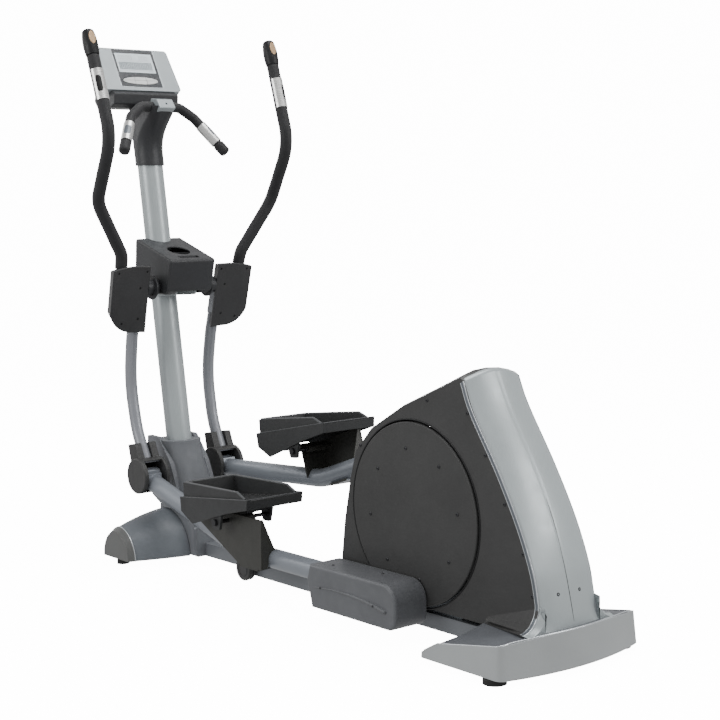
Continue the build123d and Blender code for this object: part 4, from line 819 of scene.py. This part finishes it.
def fairing():
    """Hollow sweep of the shells out over the deck, deepest at the rear, and its silver tail."""
    for side, sign in SIDES:
        bm = bmesh.new()
        rows = []
        for number in range(FAIRING_PARTS + 1):
            share = number / FAIRING_PARTS
            x = FAIRING_START_X + (FOOT_X - FAIRING_START_X) * share
            radius = FAIRING_START_RADIUS + (FOOT_RADIUS - FAIRING_START_RADIUS) * share ** 1.25
            low = deck_height(x, SHELL_HALF + radius / 2) - 2.0
            low += (FOOT_FLOOR - low) * share ** 3
            row = [(SHELL_HALF - 0.5 + radius * (1 - math.cos(a)), low + radius * (1 - math.sin(a)))
                   for a in (math.pi / 2 * k / FAIRING_ARC for k in range(FAIRING_ARC + 1))]
            row.append((SHELL_HALF - 1.0, low - 2.0))
            rows.append([bm.verts.new((x, y, z)) for y, z in row])
        full = [vert.co.copy() for vert in rows[-1]]
        for shift in FAIRING_TAIL:
            rows.append([bm.verts.new((co.x + shift, co.y - 0.35 * shift * (co.y > 100),
                                       co.z - 0.2 * shift * (co.z > 104))) for co in full])
        quads(bm, rows[:FAIRING_PARTS + 1])
        quads(bm, rows[FAIRING_PARTS:], material=1)
        close_ends(bm, rows, end_material=1)
        piece(f"{side}_fairing", bm, ("dark_plastic", "silver_plastic"), "frame",
              side_matrix("", sign), smooth=50, outward=True)


def level(rows, z, column):
    """Smooth value (Hermite curve) at a height, from rows that each start with their height."""
    heights = [row[0] for row in rows]
    at = max(0, min(len(rows) - 2, sum(h <= z for h in heights) - 1))
    before, after = max(0, at - 1), min(len(rows) - 1, at + 2)
    low, high = rows[at], rows[at + 1]
    span = high[0] - low[0]
    slope_low = (high[column] - rows[before][column]) / (high[0] - rows[before][0])
    slope_high = (rows[after][column] - low[column]) / (rows[after][0] - low[0])
    t = (z - low[0]) / span
    rise = 3 * t ** 2 - 2 * t ** 3
    return ((1 - rise) * low[column] + (t ** 3 - 2 * t ** 2 + t) * span * slope_low
            + rise * high[column] + (t ** 3 - t ** 2) * span * slope_high)


# Back cover: height, X of its edge, X of its crest and half width of each level.
BACK_LEVELS = ((94, 975, 984, 128), (118, 966, 981, 109), (160, 960, 972, 99), (250, 939, 950, 99),
               (355, 897, 915, 99), (485, 825, 852, 99), (625, 736, 765, 99), (700, 701, 728, 96),
               (740, 690, 712, 91))


BACK_COLUMNS, BACK_ROWS, SHOULDER_PARTS, LEDGE_PARTS = 40, 60, 6, 4
BACK_SHOULDER, BACK_BOTTOM, BACK_TOP, BACK_CROWN = 9.0, 94, 727, 25
BACK_GROOVE, BACK_LEDGE_X, BACK_WALL = 0.8, 699.5, 0.0025


def back_cover_skin():
    """The back cover as one smooth skin, rolled over at the top and grooved down its middle."""
    bm = bmesh.new()
    grid = []
    for column in range(BACK_COLUMNS + 1):
        share = column / BACK_COLUMNS * 2 - 1
        top = BACK_TOP - BACK_CROWN * (share * SHELL_HALF / DISC_FACE) ** 2
        groove = BACK_GROOVE * (abs(share) < 0.01)
        row = []
        for k in range(BACK_ROWS + 1):
            z = BACK_BOTTOM + (top - BACK_SHOULDER - BACK_BOTTOM) * k / BACK_ROWS
            edge, crest, half = (level(BACK_LEVELS, z, c) for c in (1, 2, 3))
            row.append(Vector((crest - (crest - edge) * share ** 2 - groove, share * half, z)))
        corner = row[-1].copy()
        for part in range(1, SHOULDER_PARTS + 1):
            turn = math.pi / 2 * part / SHOULDER_PARTS
            inward = 1 - math.cos(turn) + 0.45 * part / SHOULDER_PARTS
            row.append(Vector((corner.x - BACK_SHOULDER * inward, corner.y,
                               corner.z + BACK_SHOULDER * math.sin(turn))))
        reach = row[-1].x
        for part in range(1, LEDGE_PARTS + 1):
            x = reach + (BACK_LEDGE_X - reach) * part / LEDGE_PARTS
            row.append(Vector((min(x, reach), corner.y, top)))
        grid.append([bm.verts.new(v) for v in row])
    for a, b in zip(grid, grid[1:]):
        for k in range(len(a) - 1):
            bm.faces.new((a[k], b[k], b[k + 1], a[k + 1]))
    made = piece("back_cover_skin", bm, ("silver_plastic",), "frame", smooth=180)
    wall = made.modifiers.new("wall", "SOLIDIFY")
    wall.thickness, wall.offset = BACK_WALL, -1
    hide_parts("back_cover")


def back_cover_details():
    """Fine dark centre line down the back cover, partly a seam and partly painted shade along the
    crease above it, and a screw on each side of it.
    """
    # The strip runs on up the centre crease, where its dark colour is painted shade.
    crest = smooth_line(((980, 120), (972, 160), (950, 250), (915, 355), (880, 430)), 8)
    bm = bmesh.new()
    section = ((-0.5, -0.8), (-0.5, 0.1), (0.5, 0.1), (0.5, -0.8))
    rows = [[bm.verts.new((x + h, y, z)) for y, h in section] for x, z in crest]
    quads(bm, rows)
    close_ends(bm, rows)
    piece("back_cover_seam_and_crease_shade", bm, ("dark_plastic",), "frame", smooth=30,
          outward=True)
    bm = bmesh.new()
    for sign in (-1, 1):
        screw(bm, (962.2, sign * 38, 190), (1, sign * 0.1, 0.25), **BIG_SCREW)
    piece("back_cover_screws", bm, ("dark_steel",), "frame")


def profile_ring(bm, centre, profile, sides):
    """Adds a ring round an axis along Y: its profile is (radius, distance along the axis)."""
    quads(bm, [[bm.verts.new((centre[0] + r * c, centre[1] + h, centre[2] + r * s))
                for c, s in circle(sides)] for r, h in profile])


DISC_BEAD = ((250.2, -1.0), (250.2, 0.8), (251.4, 1.5), (253.4, 1.5), (254.4, 0.5), (254.4, -1.0))


def disc_rims():
    """Thin dark bead round each crank disc's opening in the shell."""
    for side, sign in SIDES:
        bm = bmesh.new()
        centre = (DISC[0], sign * SHELL_HALF, DISC[1])
        profile_ring(bm, centre, [(r, sign * h) for r, h in DISC_BEAD], 160)
        piece(f"{side}_disc_bead", bm, ("black_plastic",), "frame", smooth=50,
              outward=True)


disc_rims()
fairing()
back_cover_skin()
back_cover_details()


# ---- link covers ----
# Outer face of a link cover, and its rib: line (X, Z), section and growth to the nose.
LINK_COVER_FACE = 217.0
RIB_LINE = ((206, 101), (290, 108.5), (380, 108), (460, 101), (516, 91))
RIB_SECTION = ((0.5, -0.6), (0.42, 0.45), (0.2, 0.92), (-0.12, 1.0), (-0.38, 0.75), (-0.5, -0.6))
RIB_TALL, RIB_OUT = (3.0, 11.5), (1.2, 7.2)
NOSE_PARTS, NOSE_LENGTH = 4, 6.0


def link_cover_rib(side, sign):
    """Arched rib that thickens to a blunt nose, its two screws, and two on the cover's top."""
    path = smooth_line(RIB_LINE, 10)
    bm = bmesh.new()
    rows = []

    def section(x, z, normal, tall, out):
        rows.append([bm.verts.new((x + normal[0] * tall * a, LINK_COVER_FACE + out * b,
                                   z + normal[1] * tall * a)) for a, b in RIB_SECTION])

    last = len(path) - 1
    for index, (x, z) in enumerate(path):
        share = index / last
        ahead = path[min(index + 1, last)] - path[max(index - 1, 0)]
        section(x, z, Vector((-ahead[1], ahead[0])).normalized(),
                RIB_TALL[0] + (RIB_TALL[1] - RIB_TALL[0]) * share,
                RIB_OUT[0] + (RIB_OUT[1] - RIB_OUT[0]) * share)
    for part in range(1, NOSE_PARTS + 1):
        turn = math.pi / 2 * part / NOSE_PARTS
        shift = NOSE_LENGTH * math.sin(turn)
        section(path[-1][0] + shift, path[-1][1] - 0.15 * shift, (0.18, 0.98),
                RIB_TALL[1] * max(0.25, math.cos(turn)), RIB_OUT[1] * max(0.1, math.cos(turn)))
    quads(bm, rows, closed=False)
    close_ends(bm, rows)
    matrix = side_matrix("link", sign)
    piece(f"{side}_cover_rib", bm, ("cover_plastic",), f"{side}_link", matrix,
          smooth=60, outward=True)
    bm = bmesh.new()
    for x, z, out in ((244, 105.0, 1.6), (474, 99.2, 6.6)):
        screw(bm, (x, LINK_COVER_FACE + out, z), (0, 1, 0.15), head=3.0, tall=1.4)
    for x, across in ((250, 176), (420, 142)):
        screw(bm, (x, across, 163), (0, 0, 1), head=4.2, tall=1.4)
    piece(f"{side}_cover_screws", bm, ("dark_steel",), f"{side}_link", matrix)


for side, sign in SIDES:
    link_cover_rib(side, sign)


# ---- pedals ----
# Front and rear ends of the tray's edge, and the tray's inner and outer side (Y).
PEDAL_FRONT, PEDAL_REAR = Vector((-389, 0, 278)), Vector((-35, 0, 315))
PEDAL_LOW, PEDAL_HIGH = 60, 260
# The right pedal is turned on its cross bolt by this many degrees.
EAR_PIN, PEDAL_TURN = (-205, 226), 13.4
WALL_RADIUS, TRAY_RADIUS = 3.9, 1.6
STUD_ROWS, STUD_COLUMNS, STUD_PITCH = 8, 5, (30, 22)
STUD = ((3.2, 0), (3.0, 1.4), (2.0, 2.2), (0, 2.4))


def pedal_rims():
    """Rolled edges along a pedal's raised sides and its tray, and studs in the tread, all lighter
    than the pedal as painted edge highlight.
    """
    run = (PEDAL_REAR - PEDAL_FRONT).normalized()
    rise = Vector((-run.z, 0, run.x))

    def at(u, v, y):
        return PEDAL_FRONT + run * u + rise * v + Vector((0, y, 0))

    low, high = PEDAL_LOW + 10, PEDAL_HIGH - 10
    wall = [at(332, 0, low), at(296, 20, low), at(20, 43, low), at(20, 43, high),
            at(296, 20, high), at(332, 0, high)]
    tray = [at(4, 0, PEDAL_LOW + 1), at(354, 0, PEDAL_LOW + 1), at(354, 0, PEDAL_HIGH - 1),
            at(4, 0, PEDAL_HIGH - 1)]
    for side, sign in SIDES:
        bm = bmesh.new()
        sweep_rings(bm, rounded_path(wall, (14, 9, 9, 14)), lambda *_: WALL_RADIUS, sides=12)
        sweep_rings(bm, rounded_path(tray, (5, 5), 6.0), lambda *_: TRAY_RADIUS, sides=10)
        for row in range(STUD_ROWS):
            for column in range(STUD_COLUMNS):
                centre = at(77 + row * STUD_PITCH[0], -13.2,
                            PEDAL_LOW + 56 + column * STUD_PITCH[1])
                lathe(bm, centre, rise, STUD, 12)
        matrix = side_matrix("link", sign)
        if sign > 0:
            matrix = matrix @ about_y(EAR_PIN, PEDAL_TURN)
        piece(f"{side}_pedal_rims", bm, ("rim_plastic",), f"{side}_pedal",
              matrix, outward=True)


pedal_rims()


# ---- console ----
# Bottom middle of the console's sloping face, and the face's own two directions.
CONSOLE = Vector((-945, 0, 1545))
CONSOLE_LEAN = math.radians(28)
FACE_U = Vector((0, 1, 0))
FACE_V = Vector((-math.sin(CONSOLE_LEAN), 0, math.cos(CONSOLE_LEAN)))
INK_LOW, INK_HIGH = -0.95, -0.95 + 0.12
BEAD_HALF, BEAD_LOW, BEAD_HIGH, BEAD_CORNER, CORNER_PARTS = 80.5, 12.5, 159.5, 5, 6
BEAD_SECTION = ((-0.9, -0.3), (-0.7, 0.5), (0.0, 0.8), (0.7, 0.5), (0.9, -0.3))


def console_display():
    """Faint liquid-crystal noughts, a colon and rows of bars, all generic, on the screen."""
    bm = bmesh.new()

    def bar(u0, v0, u1, v1):
        slab(bm, ((u0, v0), (u1, v0), (u1, v1), (u0, v1)), CONSOLE, FACE_U, FACE_V,
             INK_LOW, INK_HIGH)

    def nought(u, v, w, h, t, gap=0.25):
        for u0, v0, u1, v1 in ((u + t, v + h - t, u + w - t, v + h),
                               (u + w - t, v + h / 2, u + w, v + h - t / 2),
                               (u + w - t, v + t / 2, u + w, v + h / 2),
                               (u + t, v, u + w - t, v + t),
                               (u, v + t / 2, u + t, v + h / 2),
                               (u, v + h / 2, u + t, v + h - t / 2)):
            bar(u0 + gap, v0 + gap, u1 - gap, v1 - gap)

    for u in (-60, -47, -30, -17):
        nought(u, 120, 9, 17, 1.6)
    for u in (20, 32, 44):
        nought(u, 120, 8.5, 17, 1.5)
    for v in (125, 130):
        bar(-33.6, v, -32.2, v + 1.4)
    for column in range(20):
        for row in range(7):
            bar(-64 + column * 6.4, 82 + row * 4.2, -59 + column * 6.4, 85.2 + row * 4.2)
    bar(-66, 77.6, 66, 78.3)
    bar(-66, 115.6, 66, 116.2)
    piece("console_figures", bm, ("lcd_ink",), "frame", smooth=180)


def console_bead():
    """Raised bright bead round the console's panel."""
    bm = bmesh.new()
    corners = ((-BEAD_HALF, BEAD_LOW, 1), (BEAD_HALF, BEAD_LOW, 1),
               (BEAD_HALF, BEAD_HIGH, -1), (-BEAD_HALF, BEAD_HIGH, -1))
    ring = []
    for index, (u, v, inward) in enumerate(corners):
        centre = Vector((u - math.copysign(BEAD_CORNER, u), v + BEAD_CORNER * inward))
        for part in range(CORNER_PARTS + 1):
            a = math.pi / 2 * (part / CORNER_PARTS + 2 + index)
            ring.append(centre + Vector((math.cos(a), math.sin(a))) * BEAD_CORNER)
    normal = FACE_U.cross(FACE_V).normalized()
    rows = []
    for index, (u, v) in enumerate(ring):
        way = (ring[(index + 1) % len(ring)] - ring[index - 1]).normalized()
        rows.append([bm.verts.new(CONSOLE + FACE_U * (u + way[1] * a) + FACE_V * (v - way[0] * a)
                                  + normal * h) for a, h in BEAD_SECTION])
    quads(bm, [*rows, rows[0]], closed=False)
    piece("console_bead", bm, ("bright_trim",), "frame", smooth=60,
          outward=True)


console_display()
console_bead()


# ---- base details ----
# The front cover's arch: rear foot, rear shoulder, top, front shoulder, front foot (X, Z).
ARCH = ((-697, 22), (-718, 84), (-790, 121), (-850, 84), (-868, 22))
ARCH_Y, ARCH_MIDDLE_Z = 241, 60


def arc(a, b, c, parts=16):
    """Points along the circular arc through three points of a plane."""
    a, b, c = Vector(a), Vector(b), Vector(c)
    d = 2 * (a.x * (b.y - c.y) + b.x * (c.y - a.y) + c.x * (a.y - b.y))
    aa, bb, cc = a.dot(a), b.dot(b), c.dot(c)
    centre = Vector(((aa * (b.y - c.y) + bb * (c.y - a.y) + cc * (a.y - b.y)) / d,
                     (aa * (c.x - b.x) + bb * (a.x - c.x) + cc * (b.x - a.x)) / d))
    start = a - centre
    turn = start.angle_signed(c - centre)
    return [centre + Matrix.Rotation(-turn * k / parts, 2) @ start for k in range(parts + 1)]


def cap_beads():
    """Bright line where each front end cap meets its cover."""
    line = arc(*ARCH[:3]) + arc(*ARCH[2:])[1:]
    middle = Vector((ARCH[2][0], ARCH_Y, ARCH_MIDDLE_Z))
    path = [Vector((p.x, ARCH_Y, p.y)) for p in line]
    path = [p + (p - middle).normalized() * 1.6 for p in path]
    for side, sign in SIDES:
        bm = bmesh.new()
        sweep_rings(bm, path, lambda *_: 1.5, sides=10)
        piece(f"{side}_base_bead", bm, ("bright_trim",), "frame",
              side_matrix("", sign))


# Rail knob: middle of its outer face, its ribs' circle, and the sections of rib and ring.
KNOB = (-296, -101, 44)
KNOB_RIBS, KNOB_RADIUS, KNOB_RIB_Y = 24, 35.6, -97.5
KNOB_RIB = ((0, 0), (1.2, 0.2), (1.7, 1.2), (1.7, 9.0), (0, 9.4))
KNOB_RING = ((20.5, 0.4), (20.5, -0.9), (21.3, -1.4), (23.0, -1.4), (24.0, -0.8), (24.0, 0.4))


def knob_details():
    """Grip ribs round the rail knob, and a raised ring on its face."""
    bm = bmesh.new()
    for c, s in circle(KNOB_RIBS):
        centre = (KNOB[0] + KNOB_RADIUS * c, KNOB_RIB_Y, KNOB[2] + KNOB_RADIUS * s)
        lathe(bm, centre, (0, 1, 0), KNOB_RIB, 8)
    profile_ring(bm, KNOB, KNOB_RING, 48)
    piece("knob_grip", bm, ("neck_plastic",), "rail_knob", outward=True)


# Rear skirt in plan: its side, its corner's centre and radius, and the bow of its rear.
SKIRT_SIDE_Y, SKIRT_FRONT_X = 247.0, 700
SKIRT_CORNER, SKIRT_CORNER_RADIUS, SKIRT_CORNER_PARTS = (946, 223), 24, 9
SKIRT_REAR_X, SKIRT_BOW = 968, 42
SKIRT_FOOT, SKIRT_LEAN, SKIRT_STEP = 16, 0.0875, 12


def skirt_bead():
    """Bright rolled edge along the top of the rear skirt, sides and bowed rear."""
    corner_x, corner_y = SKIRT_CORNER
    plan = [(x, SKIRT_SIDE_Y) for x in range(SKIRT_FRONT_X, corner_x - 1, SKIRT_STEP)]
    for part in range(1, SKIRT_CORNER_PARTS):
        turn = math.pi / 2 * part / SKIRT_CORNER_PARTS
        plan.append((corner_x + SKIRT_CORNER_RADIUS * math.sin(turn),
                     corner_y + SKIRT_CORNER_RADIUS * math.cos(turn)))
    plan += [(SKIRT_REAR_X + SKIRT_BOW * (1 - (y / corner_y) ** 2), y)
             for y in range(216, -1, -SKIRT_STEP)]
    plan += [(x, -y) for x, y in reversed(plan[:-1])]
    path = []
    for x, y in plan:
        z = deck_height(x, y)
        lean = (z - SKIRT_FOOT) * SKIRT_LEAN
        around = Vector((max(0.0, x - corner_x), math.copysign(max(0.0, abs(y) - 200), y)))
        pull = around.normalized() * lean if around.length else Vector((0, 0))
        path.append(Vector((x - pull.x, y - pull.y, z - 0.4)))
    bm = bmesh.new()
    sweep_rings(bm, path, lambda *_: 2.1, sides=12)
    piece("skirt_bead", bm, ("bright_trim",), "frame")


cap_beads()
knob_details()
skirt_bead()
